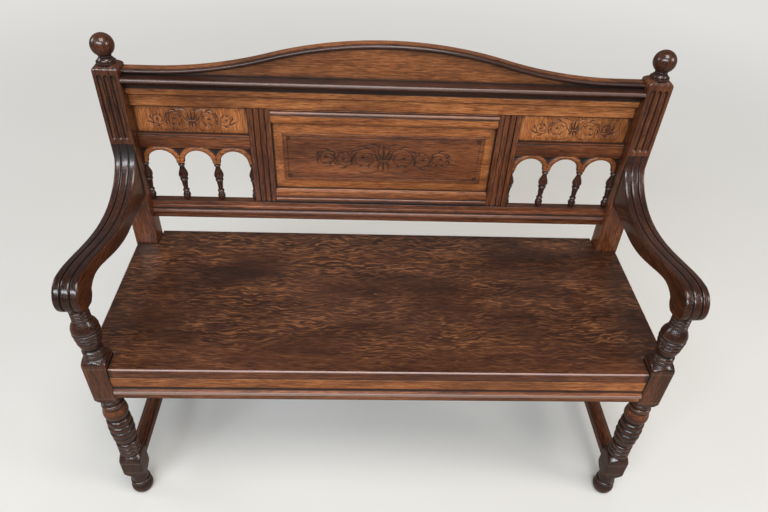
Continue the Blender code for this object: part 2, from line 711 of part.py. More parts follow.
def arm_top_path():
    """Top line of the arm in Y and Z, from the post round the nose to the leg."""
    dip = (post_front_y - ARM_DIP_FROM_POST, arm_dip_height)
    path = []
    for i in range(7):
        turn = math.radians(90 * (1 - i / 6))
        path.append((dip[0] + (ARM_DIP_FROM_POST - FIT) * math.sin(turn),
                     arm_dip_height + (arm_root_top - arm_dip_height) * (1 - math.cos(turn))))
    nose_z = ARM_SEAT_HEIGHT - ARM_NOSE_FLAT + ARM_NOSE_FRONT_RADIUS
    nose_front = leg_front_y - ARM_NOSE_REACH
    crown = (nose_front + ARM_NOSE_TOP_RADIUS, nose_z + ARM_NOSE_TOP_RADIUS)
    run = dip[0] - crown[0]
    path += bezier(dip, (dip[0] - 0.39 * run, dip[1]), (crown[0] + 0.24 * run, crown[1]), crown, 6)
    path += arc((crown[0], nose_z), ARM_NOSE_TOP_RADIUS, 90, 180, 6)
    lower_centre = (nose_front + ARM_NOSE_FRONT_RADIUS, nose_z)
    flat = math.degrees(math.acos(1 - ARM_NOSE_FLAT / ARM_NOSE_FRONT_RADIUS))
    path += arc(lower_centre, ARM_NOSE_FRONT_RADIUS, 180, 270 - flat, 4)
    return path


def arm_under_path():
    """Underside of the arm in Y and Z, from the leg back to the post."""
    nose_front = leg_front_y - ARM_NOSE_REACH
    centre = (nose_front + ARM_NOSE_FRONT_RADIUS,
              ARM_SEAT_HEIGHT - ARM_NOSE_FLAT + ARM_NOSE_BACK_RADIUS)
    flat = math.degrees(math.acos(1 - ARM_NOSE_FLAT / ARM_NOSE_BACK_RADIUS))
    path = [(centre[0] + ARM_NOSE_BACK_RADIUS * math.sin(math.radians(flat)), ARM_SEAT_HEIGHT)]
    path += arc(centre, ARM_NOSE_BACK_RADIUS, -90 + flat, -12, 3)
    cusp = path[-1]
    crown = (cusp[0] + ARM_ARCH_RISE, ARM_SEAT_HEIGHT + ARM_ARCH_RISE)
    path += bezier(cusp, (cusp[0] + 0.3 * ARM_ARCH_RISE, crown[1] - 0.1 * ARM_ARCH_RISE),
                   (crown[0] - 0.4 * ARM_ARCH_RISE, crown[1]), crown, 2)
    low = (post_front_y - ARM_UNDER_FROM_POST, arm_under_height)
    run = low[0] - crown[0]
    path += bezier(crown, (crown[0] + 0.21 * run, crown[1]), (low[0] - 0.42 * run, low[1]), low, 5)
    path += [(post_front_y - FIT, arm_root_bottom)]
    return path


def reed_section():
    """Across the arm: place from its middle, and how far the top drops there, as shares."""
    half = [(0.0, 0.0), (0.26, 0.15), (0.38, 1.0), (0.50, 0.1), (0.86, 0.1), (1.0, 1.1)]
    return [(-share, drop) for share, drop in reversed(half[1:])] + half


def make_arm(side):
    """Arm sawn to an S, scrolled over the leg, with reeds worked along its top."""
    top = arm_top_path()
    under = arm_under_path()
    normals = []
    for i in range(len(top)):
        before = top[max(i - 1, 0)]
        after = top[min(i + 1, len(top) - 1)]
        length = math.dist(before, after)
        normals.append(((before[1] - after[1]) / length, (after[0] - before[0]) / length))
    normals[0] = (0.0, -1.0)
    normals[-1] = (1.0, 0.0)
    rings = []
    for share, drop in reed_section():
        x = side * leg_x + share * ARM_WIDTH / 2
        depth = drop * REED_DEPTH
        line = [(x, min(y + depth * n[0], top[0][0] - FIT), z + depth * n[1])
                for (y, z), n in zip(top, normals)]
        line[0] = (x, top[0][0], top[0][1] - depth)
        line += [(x, y, z) for y, z in under]
        rings.append(line)
    arm = place(f"arm_{side_name(side)}", loft(rings), DARK_OAK, smooth=True)
    add_blocks(arm, [arm_tenon(side)])
    cut_rods(arm, [((side * leg_x, leg_y), 2, ARM_SEAT_HEIGHT - SOCKET_SPARE,
                    ARM_SEAT_HEIGHT + LEG_SPIGOT_LENGTH + SOCKET_SPARE, LEG_SPIGOT_RADIUS, LEG_SIDES)])
    cut_rods(arm, [((side * leg_x, arm_screw_height), 1, post_front_y - ARM_SCREW_BITE,
                    post_front_y + ARM_TENON_LENGTH + SOCKET_SPARE, SCREW_RADIUS, SCREW_SIDES)])
    return arm


def make_stretcher(side):
    """Side stretcher with a quirk worked along both upper edges."""
    half = STRETCHER_WIDTH / 2
    low = STRETCHER_CENTRE_HEIGHT - STRETCHER_HEIGHT / 2
    high = STRETCHER_CENTRE_HEIGHT + STRETCHER_HEIGHT / 2
    step = high - STRETCHER_QUIRK_DEPTH
    right = [(half, low), (half, step), (half - STRETCHER_QUIRK_WIDTH * 0.4, step),
             (half - STRETCHER_QUIRK_WIDTH * 0.6, high - STRETCHER_QUIRK_DEPTH / 3),
             (half - STRETCHER_QUIRK_WIDTH, high)]
    outline = right + [(-x, z) for x, z in reversed(right)]
    outline = [(side * leg_x + x, z) for x, z in outline]
    piece = place(f"side_stretcher_{side_name(side)}",
                  extruded(outline, 1, leg_back_y + FIT, post_front_y - FIT), DARK_OAK)
    add_blocks(piece, stretcher_tenons(side))
    return piece


def make_front_rail():
    """Front seat rail with a bead and a fillet along its lower edge."""
    face = leg_front_y + RAIL_SETBACK
    fillet_top = rail_bottom + RAIL_FILLET_HEIGHT
    bead_top = fillet_top + RAIL_BEAD_HEIGHT
    nose = face - RAIL_BEAD_REACH
    fillet = face - RAIL_BEAD_REACH / 3
    nose_top = fillet_top + RAIL_BEAD_HEIGHT * 0.35
    cove = [(face - RAIL_BEAD_REACH * (1 - math.cos(math.pi / 2 * i / 3)),
             bead_top - (bead_top - nose_top) * math.sin(math.pi / 2 * i / 3)) for i in range(4)]
    outline = [(front_rail_back_y, rail_bottom), (fillet, rail_bottom), (fillet, fillet_top),
               (nose, fillet_top + RAIL_BEAD_HEIGHT * 0.1), *reversed(cove),
               (face, seat_under - FIT), (front_rail_back_y, seat_under - FIT)]
    reach = leg_inner_x - FIT
    rail = place("front_seat_rail", extruded(outline, 0, -reach, reach), DARK_OAK)
    add_blocks(rail, [front_rail_tenon(-1), front_rail_tenon(1)])
    cut_blocks(rail, [bearer_tenons(-1)[0], bearer_tenons(1)[0]])
    return rail


def make_rear_rail():
    """Plain rear seat rail between the posts."""
    reach = post_inner_x - FIT
    bm = bmesh.new()
    add_block(bm, block((-reach, reach), (rear_rail_front_y, rear_rail_front_y + RAIL_THICKNESS),
                        (rail_bottom, seat_under - FIT)))
    rail = place("rear_seat_rail", bm, DARK_OAK)
    add_blocks(rail, [rear_rail_tenon(-1), rear_rail_tenon(1)])
    cut_blocks(rail, [bearer_tenons(-1)[1], bearer_tenons(1)[1]])
    return rail


def make_side_rail(side):
    """Plain side seat rail between the leg and the post."""
    bm = bmesh.new()
    add_block(bm, block((side * side_rail_inner_x, side * side_rail_outer_x),
                        (leg_back_y + FIT, post_front_y - FIT), (rail_bottom, seat_under - FIT)))
    rail = place(f"side_seat_rail_{side_name(side)}", bm, DARK_OAK)
    add_blocks(rail, side_rail_tenons(side))
    return rail


def bearer_tenons(side):
    """Stub tenons of one bearer: into the front rail, then into the rear rail."""
    x = (side * BEARER_OFFSET - BEARER_WIDTH / 4, side * BEARER_OFFSET + BEARER_WIDTH / 4)
    middle = seat_under - BEARER_HEIGHT / 2
    z = (middle - BEARER_HEIGHT / 4, middle + BEARER_HEIGHT / 4)
    return [block(x, (front_rail_back_y - BEARER_TENON, front_rail_back_y + BEARER_WIDTH), z),
            block(x, (rear_rail_front_y - BEARER_WIDTH, rear_rail_front_y + BEARER_TENON), z)]


def seat_screw_rods(side):
    """Shanks and heads of the screws through one bearer, as rods along Z."""
    middle_y = (front_rail_back_y + rear_rail_front_y) / 2
    under = seat_under - BEARER_HEIGHT
    rods = []
    for offset in SEAT_SCREW_OFFSETS:
        centre = (side * BEARER_OFFSET, middle_y + offset)
        rods.append((centre, 2, under + SCREW_HEAD_HEIGHT, seat_under + SEAT_SCREW_BITE,
                     SCREW_RADIUS, SCREW_SIDES))
    return rods


def seat_screw_heads(side):
    return [(centre, 2, seat_under - BEARER_HEIGHT - SOCKET_SPARE,
             seat_under - BEARER_HEIGHT + SCREW_HEAD_HEIGHT, SCREW_HEAD_RADIUS, sides)
            for centre, _, _, _, _, sides in seat_screw_rods(side)]


def make_bearer(side):
    """Cross bearer under the seat boards."""
    bm = bmesh.new()
    add_block(bm, block(
        (side * BEARER_OFFSET - BEARER_WIDTH / 2, side * BEARER_OFFSET + BEARER_WIDTH / 2),
        (front_rail_back_y + FIT, rear_rail_front_y - FIT),
        (seat_under - BEARER_HEIGHT, seat_under - FIT)))
    bearer = place(f"seat_bearer_{side_name(side)}", bm, HIDDEN_OAK)
    add_blocks(bearer, bearer_tenons(side))
    cut_rods(bearer, seat_screw_rods(side))
    cut_rods(bearer, seat_screw_heads(side))
    return bearer


def make_corner_block(side, end):
    """Corner block glued behind a leg (end -1) or in front of a post (end 1)."""
    if end < 0:
        inner_x, rail_y, corner_y = leg_inner_x, front_rail_back_y, leg_back_y
    else:
        inner_x, rail_y, corner_y = post_inner_x, rear_rail_front_y, post_front_y
    rail_y -= end * FIT
    corner_y -= end * FIT
    outline = [(inner_x - FIT, rail_y), (inner_x - CORNER_BLOCK_REACH, rail_y),
               (side_rail_inner_x - FIT, corner_y - end * CORNER_BLOCK_REACH),
               (side_rail_inner_x - FIT, corner_y), (inner_x - FIT, corner_y)]
    outline = [(side * x, y) for x, y in outline]
    name = f"corner_block_{'front' if end < 0 else 'rear'}_{side_name(side)}"
    top = seat_under - FIT
    return place(name, extruded(outline, 2, top - CORNER_BLOCK_HEIGHT, top), HIDDEN_OAK)


def make_seat_boards():
    """Two seat boards joined by a tongue, notched round the legs and the posts."""
    front_y = leg_front_y + RAIL_SETBACK
    joint_y = (front_y + seat_back_y) / 2
    half = WIDTH_OVER_LEGS / 2
    notch_x = leg_inner_x - FIT
    notch_y = leg_back_y + FIT
    right = [(notch_x, front_y), (notch_x, notch_y), (half, notch_y), (half, joint_y)]
    outline = right + [(-x, y) for x, y in reversed(right)]
    front = place("seat_board_front", extruded(outline, 2, seat_under, SEAT_HEIGHT), SEAT_OAK)
    tongue = block((notch_x, -notch_x), (joint_y - SEAT_TONGUE, joint_y + SEAT_TONGUE),
                   (SEAT_HEIGHT - SEAT_THICKNESS / 2 - SEAT_TONGUE / 2,
                    SEAT_HEIGHT - SEAT_THICKNESS / 2 + SEAT_TONGUE / 2))
    add_blocks(front, [tongue])
    notch_x = post_inner_x - FIT
    notch_y = post_front_y - FIT
    right = [(half, joint_y + FIT), (half, notch_y), (notch_x, notch_y), (notch_x, seat_back_y)]
    outline = right + [(-x, y) for x, y in reversed(right)]
    rear = place("seat_board_rear", extruded(outline, 2, seat_under, SEAT_HEIGHT), SEAT_OAK)
    cut_blocks(rear, [tongue])
    for side in (-1, 1):
        for board in (front, rear):
            cut_rods(board, seat_screw_rods(side))


def bottom_rail_outline():
    """Section of the back's bottom rail: a ledge, a cove and a bead over a fillet."""
    front = frame_back_y - BOTTOM_RAIL_THICKNESS
    high = bottom_rail_top
    low = bottom_rail_bottom
    height = high - low
    nose = front - BOTTOM_BEAD_REACH
    fillet = front - BOTTOM_BEAD_REACH * 0.4
    cove = [(front - BOTTOM_BEAD_REACH * 0.3, high - height * 0.34),
            (front - BOTTOM_BEAD_REACH * 0.7, high - height * 0.43)]
    bead = [(nose + BOTTOM_BEAD_REACH * 0.15, high - height * 0.50), (nose, high - height * 0.60),
            (nose + BOTTOM_BEAD_REACH * 0.15, high - height * 0.70)]
    return [(frame_back_y, low), (fillet, low), (fillet, high - height * 0.76), *reversed(bead),
            *reversed(cove), (front, high - height * 0.25), (front, high), (frame_back_y, high)]


def make_bottom_rail():
    """Moulded bottom rail of the back, which carries the muntins and the spindles."""
    reach = post_inner_x - FIT
    rail = place("back_bottom_rail", extruded(bottom_rail_outline(), 0, -reach, reach), DARK_OAK)
    add_blocks(rail, [back_rail_tenon(side, bottom_rail_bottom, bottom_rail_top) for side in (-1, 1)])
    cut_blocks(rail, [centre_panel_block()])
    cut_blocks(rail, [muntin_tenons(side)[0] for side in (-1, 1)])
    cut_rods(rail, [((x, arcade_y), 2, bottom_rail_top - SPINDLE_PIN_LENGTH - SOCKET_SPARE,
                     bottom_rail_top + SOCKET_SPARE, SPINDLE_PIN_RADIUS, SPINDLE_SIDES)
                    for side in (-1, 1) for x in spindle_places(side)])
    return rail


def make_top_rail():
    """Plain top rail of the back, grooved below for the panels."""
    reach = post_inner_x - FIT
    bm = bmesh.new()
    add_block(bm, block((-reach, reach), (frame_front_y, frame_back_y),
                        (top_rail_bottom, top_rail_top - FIT)))
    rail = place("back_top_rail", bm, GOLDEN_OAK)
    add_blocks(rail, [back_rail_tenon(side, top_rail_bottom + PANEL_TONGUE, top_rail_top)
                      for side in (-1, 1)])
    cut_blocks(rail, [centre_panel_block(), side_panel_block(-1), side_panel_block(1)])
    cut_blocks(rail, [muntin_tenons(side)[1] for side in (-1, 1)])
    cut_rods(rail, crest_dowel_rods(SOCKET_SPARE))
    return rail


def make_muntin(side):
    """Upright of the back with reeds down its face and a panel groove in each edge."""
    pitch = MUNTIN_WIDTH / (MUNTIN_REED_COUNT + 2)
    face = [(MUNTIN_INNER_X, frame_front_y)]
    start = MUNTIN_INNER_X + pitch
    for i in range(MUNTIN_REED_COUNT):
        left = start + i * pitch
        face += [(left, frame_front_y), (left + 0.15 * pitch, frame_front_y + MUNTIN_REED_DEPTH),
                 (left + 0.35 * pitch, frame_front_y)]
    face += [(muntin_outer_x - pitch, frame_front_y),
             (muntin_outer_x - pitch * 0.85, frame_front_y + MUNTIN_REED_DEPTH),
             (muntin_outer_x - pitch * 0.65, frame_front_y)]
    outline = face + [(muntin_outer_x, frame_front_y), (muntin_outer_x, frame_back_y),
                      (MUNTIN_INNER_X, frame_back_y)]
    outline = [(side * x, y) for x, y in outline]
    muntin = place(f"muntin_{side_name(side)}",
                   extruded(outline, 2, bottom_rail_top + FIT, top_rail_bottom - FIT), GOLDEN_OAK)
    add_blocks(muntin, muntin_tenons(side))
    cut_blocks(muntin, [centre_panel_block(), side_panel_block(side)])
    cut_blocks(muntin, [mid_rail_tenons(side)[0]])
    return muntin


def make_mid_rail(side):
    """Rail between the side panel and the arcade."""
    bm = bmesh.new()
    add_block(bm, block((side * (muntin_outer_x + FIT), side * (post_inner_x - FIT)),
                        (frame_front_y, frame_back_y), (mid_rail_bottom, mid_rail_top)))
    rail = place(f"mid_rail_{side_name(side)}", bm, GOLDEN_OAK)
    add_blocks(rail, mid_rail_tenons(side))
    cut_blocks(rail, [side_panel_block(side)])
    groove = arcade_tongue(side)
    cut_blocks(rail, [((groove[0][0] - SOCKET_SPARE, groove[0][1] + SOCKET_SPARE), groove[1], groove[2])])
    return rail


def panel_ring(box, inset_x, inset_low, inset_high, y):
    (x0, x1), _, (z0, z1) = box
    return [(x0 + inset_x, y, z0 + inset_low), (x1 - inset_x, y, z0 + inset_low),
            (x1 - inset_x, y, z1 - inset_high), (x0 + inset_x, y, z1 - inset_high)]


def make_centre_panel():
    """Raised and fielded centre panel, its thin edges held in grooves."""
    box = centre_panel_block()
    low = PANEL_TONGUE + CENTRE_MOULDING_BOTTOM_HEIGHT
    high = PANEL_TONGUE + CENTRE_MOULDING_TOP_HEIGHT
    field_y = panel_front_y - FIELD_PROUD
    rings = [panel_ring(box, 0.0, 0.0, 0.0, panel_back_y), panel_ring(box, 0.0, 0.0, 0.0, panel_front_y),
             panel_ring(box, PANEL_TONGUE, low, high, panel_front_y),
             panel_ring(box, PANEL_TONGUE + BEVEL_WIDTH, low + BEVEL_WIDTH, high + BEVEL_WIDTH,
                        field_y + FIELD_STEP),
             panel_ring(box, PANEL_TONGUE + BEVEL_WIDTH, low + BEVEL_WIDTH, high + BEVEL_WIDTH, field_y)]
    return place("centre_panel", loft(rings), GOLDEN_OAK)


def make_centre_moulding(top):
    """Moulding planted over the centre panel's upper or lower edge, between the muntins."""
    height = CENTRE_MOULDING_TOP_HEIGHT if top else CENTRE_MOULDING_BOTTOM_HEIGHT
    back = panel_front_y - FIT
    face = frame_front_y + CENTRE_MOULDING_REACH
    nose = frame_front_y - CENTRE_MOULDING_REACH
    bead_low = CENTRE_MOULDING_QUIRK
    bead_high = bead_low + CENTRE_MOULDING_BEAD
    bulge = nose - CENTRE_MOULDING_REACH / 3
    bead = [(face, bead_low), (nose, bead_low + CENTRE_MOULDING_BEAD / 8), (bulge, (bead_low + bead_high) / 2),
            (nose, bead_high - CENTRE_MOULDING_BEAD / 8), (face, bead_high)]
    section = [(back, FIT), (face, FIT), *bead, (face, height - CENTRE_MOULDING_BEVEL),
               (face + CENTRE_MOULDING_REACH, height), (back, height)]
    if top:
        outline = [(y, top_rail_bottom - drop) for y, drop in section]
    else:
        outline = [(y, bottom_rail_top + rise) for y, rise in section]
    reach = MUNTIN_INNER_X - FIT
    name = "centre_moulding_top" if top else "centre_moulding_bottom"
    return place(name, extruded(outline, 0, -reach, reach), GOLDEN_OAK)


def make_side_panel(side):
    """Flat side panel with a thin edge held in grooves."""
    box = side_panel_block(side)
    field_y = panel_front_y - SIDE_FIELD_PROUD
    rings = [panel_ring(box, 0.0, 0.0, 0.0, panel_back_y), panel_ring(box, 0.0, 0.0, 0.0, panel_front_y)]
    edge = PANEL_TONGUE + FIT
    inner = edge + SIDE_PANEL_BEVEL
    rings += [panel_ring(box, edge, edge, edge, panel_front_y), panel_ring(box, inner, inner, inner, field_y)]
    return place(f"side_panel_{side_name(side)}", loft(rings), GOLDEN_OAK)


def make_arcade(side):
    """Arcade board: three round arches that spring from the spindles."""
    start = muntin_outer_x + FIT
    end = post_inner_x - FIT
    outline = [(end, mid_rail_bottom - FIT), (start, mid_rail_bottom - FIT), (start, arcade_spring)]
    for i in range(ARCADE_BAYS):
        centre = (muntin_outer_x + bay_width * (i + 0.5), arcade_spring)
        outline.append((centre[0] - arch_radius, arcade_spring))
        outline += arc(centre, arch_radius, 180, 0, ARCH_SEGMENTS)
    outline.append((end, arcade_spring))
    outline = [(side * x, z) for x, z in outline]
    board = place(f"arcade_board_{side_name(side)}",
                  extruded(outline, 1, arcade_front_y, arcade_front_y + ARCADE_THICKNESS), GOLDEN_OAK)
    add_blocks(board, [arcade_tongue(side)])
    cut_rods(board, [((x, arcade_y), 2, arcade_spring - SOCKET_SPARE,
                      arcade_spring + SPINDLE_PIN_LENGTH + SOCKET_SPARE, SPINDLE_PIN_RADIUS,
                      SPINDLE_SIDES) for x in spindle_places(side)])
    return board


def spindle_profile():
    """Turned shape of a spindle from the ledge to the arcade."""
    height = arcade_spring - bottom_rail_top
    foot = SPINDLE_FOOT_SHARE * height
    ring = SPINDLE_RING_SHARE * height
    return turned_profile(bottom_rail_top + FIT, arcade_spring - FIT, SPINDLE_NECK_RADIUS, [
        ("swell", foot, SPINDLE_FOOT_RADIUS), ("taper", foot, SPINDLE_NECK_RADIUS),
        ("bead", ring, SPINDLE_RING_RADIUS), ("line", SPINDLE_SHAFT_SHARE * height, SPINDLE_SHAFT_RADIUS),
        ("bead", ring, SPINDLE_WAIST_RADIUS), ("swell", SPINDLE_BULGE_SHARE * height, SPINDLE_BULGE_RADIUS),
        ("ease", None, SPINDLE_NECK_RADIUS), ("bead", ring, SPINDLE_RING_RADIUS),
        ("line", ring / 3, SPINDLE_NECK_RADIUS)])


def make_spindle(side, number, x):
    """Full spindle with a pin at each end."""
    profile = spindle_profile()
    pins_low = [(SPINDLE_PIN_RADIUS, bottom_rail_top - SPINDLE_PIN_LENGTH),
                (SPINDLE_PIN_RADIUS, bottom_rail_top + FIT)]
    pins_high = [(SPINDLE_PIN_RADIUS, arcade_spring - FIT),
                 (SPINDLE_PIN_RADIUS, arcade_spring + SPINDLE_PIN_LENGTH)]
    rings = [turned_ring(r, z, (x, arcade_y), SPINDLE_SIDES) for r, z in pins_low + profile + pins_high]
    return place(f"spindle_{side_name(side)}_{number}", loft(rings), DARK_OAK, smooth=True)


def make_half_spindle(side, place_name, x, facing):
    """Split spindle planted against the muntin or the post; facing is the way it bulges along X."""
    rings = []
    steps = SPINDLE_SIDES // 2
    for radius, z in spindle_profile():
        rings.append([(x + facing * radius * math.sin(math.pi * i / steps),
                       arcade_y + radius * math.cos(math.pi * i / steps), z) for i in range(steps + 1)])
    return place(f"half_spindle_{side_name(side)}_{place_name}", loft(rings), DARK_OAK, smooth=True)


def crest_height(x):
    """Top of the crest above the top rail: two equal arcs, the outer one hollow."""
    half = crest_curve_half / 2
    radius = (half ** 2 + (CREST_RISE / 2) ** 2) / CREST_RISE
    distance = min(abs(x), crest_curve_half)
    if distance < half:
        drop = radius - math.sqrt(radius ** 2 - distance ** 2)
        return top_rail_top + CREST_END_HEIGHT + CREST_RISE - drop
    away = crest_curve_half - distance
    return top_rail_top + CREST_END_HEIGHT + radius - math.sqrt(radius ** 2 - away ** 2)


def crest_dowel_rods(spare):
    half = CREST_DOWEL_LENGTH / 2
    return [((x, frame_y), 2, top_rail_top - half - spare, top_rail_top + half + spare,
             CREST_DOWEL_RADIUS, SCREW_SIDES) for x in CREST_DOWEL_OFFSETS]


def make_crest():
    """Serpentine crest board with a bead along its top edge."""
    reach = post_inner_x - FIT
    back = frame_back_y
    front = frame_back_y - CREST_THICKNESS
    nose = front - CREST_BEAD_REACH
    section = [(back, 0.0), (nose + CREST_BEAD_ROUND, 0.0), (nose, CREST_BEAD_ROUND),
               (nose, CREST_BEAD_HEIGHT - CREST_BEAD_ROUND), (nose + CREST_BEAD_ROUND, CREST_BEAD_HEIGHT),
               (front, CREST_BEAD_HEIGHT)]
    stations = [-reach]
    steps = 22
    stations += [crest_curve_half * (2 * i / steps - 1) for i in range(steps + 1)]
    stations.append(reach)
    rings = []
    for x in stations:
        height = crest_height(x)
        ring = [(x, y, height - drop) for y, drop in section]
        ring += [(x, front, top_rail_top + FIT), (x, back, top_rail_top + FIT)]
        rings.append(ring)
    crest = place("crest_board", loft(rings), DARK_OAK, smooth=True)
    add_blocks(crest, [crest_tenon(-1), crest_tenon(1)])
    cut_rods(crest, crest_dowel_rods(SOCKET_SPARE))
    return crest


def make_cornice():
    """Cornice moulding planted along the top rail, under the crest."""
    back = frame_front_y - FIT
    high = top_rail_top + CORNICE_LAP
    low = high - CORNICE_HEIGHT
    nose = frame_front_y - CORNICE_REACH
    fillet_y = back - CORNICE_FILLET_REACH
    cove_top = high - CORNICE_NOSE_HEIGHT
    cove_low = low + CORNICE_FILLET_HEIGHT
    cove = []
    for i in range(5):
        turn = math.pi / 2 * i / 4
        stop = nose + CORNICE_COVE_STOP
        cove.append((stop + (fillet_y - stop) * math.sin(turn),
                     cove_top + (cove_low - cove_top) * (1 - math.cos(turn))))
    outline = [(back, low), (fillet_y, low), *reversed(cove), (nose + CORNICE_ROUND / 3, cove_top),
               (nose, cove_top + CORNICE_ROUND), (nose, high - CORNICE_ROUND), (nose + CORNICE_ROUND, high),
               (back, high)]
    reach = post_inner_x - FIT
    return place("cornice_moulding", extruded(outline, 0, -reach, reach), GOLDEN_OAK)


def make_crest_dowels():
    """Dowels between the top rail and the crest."""
    for number, rod in enumerate(crest_dowel_rods(0.0), start=1):
        bm = bmesh.new()
        add_rod(bm, *rod)
        place(f"crest_dowel_{number}", bm, HIDDEN_OAK)


def add_screw(bm, centre, axis, head, tip, direction):
    """A countersunk screw, head and tip given along its axis."""
    shank = head + direction * SCREW_HEAD_HEIGHT
    point = tip - direction * SCREW_RADIUS * 2
    others = [i for i in range(3) if i != axis]
    rings = []
    for along, radius in ((head, SCREW_HEAD_RADIUS), (shank, SCREW_RADIUS), (point, SCREW_RADIUS),
                          (tip, SCREW_RADIUS * 0.3)):
        ring = []
        for i in range(SCREW_SIDES):
            turn = 2 * math.pi * (i + 0.5) / SCREW_SIDES
            spot = [0.0, 0.0, 0.0]
            spot[axis] = along
            spot[others[0]] = centre[0] + radius * math.cos(turn)
            spot[others[1]] = centre[1] + radius * math.sin(turn)
            ring.append(bm.verts.new(spot))
        rings.append(ring)
    close_loft(bm, rings)


def make_seat_screws(side):
    """Screws up through one bearer into the seat boards."""
    for number, (centre, axis, _, tip, _, _) in enumerate(seat_screw_rods(side), start=1):
        bm = bmesh.new()
        add_screw(bm, centre, axis, seat_under - BEARER_HEIGHT + FIT, tip, 1)
        place(f"seat_screw_{side_name(side)}_{number}", bm, STEEL)


def make_arm_screw(side):
    """Screw through the post into the arm's root."""
    bm = bmesh.new()
    add_screw(bm, (side * leg_x, arm_screw_height), 1, post_back_y - PELLET_DEPTH - FIT,
              post_front_y - ARM_SCREW_BITE, -1)
    return place(f"arm_screw_{side_name(side)}", bm, STEEL)


def make_arm_pellet(side):
    """Wooden pellet that hides the arm screw."""
    bm = bmesh.new()
    add_rod(bm, (side * leg_x, arm_screw_height), 1, post_back_y - PELLET_DEPTH, post_back_y,
            PELLET_RADIUS, SCREW_SIDES)
    return place(f"arm_screw_pellet_{side_name(side)}", bm, DARK_OAK)


def build():
    clear_scene()
    for side in (-1, 1):
        make_leg(side)
        make_post(side)
        make_finial(side)
        make_arm(side)
        make_stretcher(side)
        make_side_rail(side)
        make_bearer(side)
        make_corner_block(side, -1)
        make_corner_block(side, 1)
        make_muntin(side)
        make_mid_rail(side)
        make_side_panel(side)
        make_arcade(side)
        for number, x in enumerate(spindle_places(side), start=1):
            make_spindle(side, number, x)
        make_seat_screws(side)
        make_arm_screw(side)
        make_arm_pellet(side)
        make_half_spindle(side, "inner", side * (muntin_outer_x + FIT), side)
        make_half_spindle(side, "outer", side * (post_inner_x - FIT), -side)
    make_front_rail()
    make_rear_rail()
    make_seat_boards()
    make_bottom_rail()
    make_top_rail()
    make_centre_panel()
    make_centre_moulding(True)
    make_centre_moulding(False)
    make_crest()
    make_cornice()
    make_crest_dowels()


build()
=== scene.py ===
# %% [markdown]
# The bench is an oak hall bench: turned front legs, sweeping reeded arms, a framed back with
# small arcades and a long plain seat. Its joints and sizes are already settled in the CAD frame,
# so this script only gives each visible piece its fine shape and its polish. Everything is in
# metres, with the floor at zero height and the sitter facing the camera.

# %% Load the frame
import math

import bmesh
import bpy
import numpy as np
from mathutils import Matrix, Vector
from mathutils.bvhtree import BVHTree


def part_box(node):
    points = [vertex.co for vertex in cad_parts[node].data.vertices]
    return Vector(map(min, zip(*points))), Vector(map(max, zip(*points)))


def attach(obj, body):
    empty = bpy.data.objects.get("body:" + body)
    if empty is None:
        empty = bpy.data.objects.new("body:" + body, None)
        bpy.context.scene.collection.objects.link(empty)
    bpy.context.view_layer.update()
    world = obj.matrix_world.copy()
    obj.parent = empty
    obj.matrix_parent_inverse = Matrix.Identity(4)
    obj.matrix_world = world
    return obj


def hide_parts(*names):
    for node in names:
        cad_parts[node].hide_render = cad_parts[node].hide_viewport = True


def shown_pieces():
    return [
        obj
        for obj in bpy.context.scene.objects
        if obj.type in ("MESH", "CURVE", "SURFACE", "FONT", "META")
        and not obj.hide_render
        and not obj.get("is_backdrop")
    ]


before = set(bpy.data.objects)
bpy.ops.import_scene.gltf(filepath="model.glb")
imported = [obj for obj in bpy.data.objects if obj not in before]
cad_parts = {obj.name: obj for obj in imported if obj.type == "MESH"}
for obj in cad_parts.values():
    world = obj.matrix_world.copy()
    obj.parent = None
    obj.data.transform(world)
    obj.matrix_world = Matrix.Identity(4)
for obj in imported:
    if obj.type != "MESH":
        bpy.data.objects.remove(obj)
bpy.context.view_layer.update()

# %% [markdown]
# Each piece of furniture is cut to a few shared sizes. They are read from the boxes of the CAD
# nodes where a box says them, and named here where it doesn't, so that a moulding meets its
# neighbour without any fitting by eye.

# %% Shared sizes
GAP = 0.0003
LEG_BLOCK = 0.048
POST_TOP = 0.911
ARM_SEAT = 0.612
ARM_ROOT_LOW, ARM_ROOT_TOP = 0.603, 0.735
leg_x = 0.570
leg_front = -0.22275
leg_y = leg_front + LEG_BLOCK / 2
leg_inner = leg_x - LEG_BLOCK / 2
(post_inner, post_front, _), (post_outer, post_back, _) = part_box("back_post_right")
post_x = leg_x
post_y = (post_front + post_back) / 2
seat_low, seat_high = (corner[2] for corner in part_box("seat_board_front"))
frame_back = 0.22275
frame_face = frame_back - 0.016
panel_back = frame_back - 0.003
panel_face = frame_back - 0.008
rail_end = post_inner - GAP
bottom_low, bottom_high = 0.525, 0.571
middle_low, middle_high = 0.714, 0.746
top_low, top_high = 0.813, 0.880
centre_low, centre_high = 0.608, 0.777
upright_near, upright_far = 0.250, 0.2995
cornice_low, cornice_high = 0.844, 0.885
print("leg axis", leg_x, round(leg_y, 5), "post", round(post_inner, 4), round(post_front, 4))

# %% [markdown]
# The photograph was taken from about standing height, a metre in front of the seat and a little
# to the left. The camera's place, tilt and lens were worked out from the corners of the seat,
# the feet and the balls on the posts.

# %% Camera
CAMERA_AT = (-0.05437, -1.05286, 1.45872)
CAMERA_LENS = 29.927
CAMERA_YAW, CAMERA_PITCH, CAMERA_ROLL = 0.05287, -0.69474, 0.05107


def camera_axes(yaw, pitch, roll):
    """Right, up and forward directions of the camera."""
    level = math.cos(pitch)
    forward = Vector((math.sin(yaw) * level, math.cos(yaw) * level, math.sin(pitch)))
    right = Vector((math.cos(yaw), -math.sin(yaw), 0))
    up = right.cross(forward)
    turned_right = math.cos(roll) * right + math.sin(roll) * up
    turned_up = math.cos(roll) * up - math.sin(roll) * right
    return turned_right, turned_up, forward


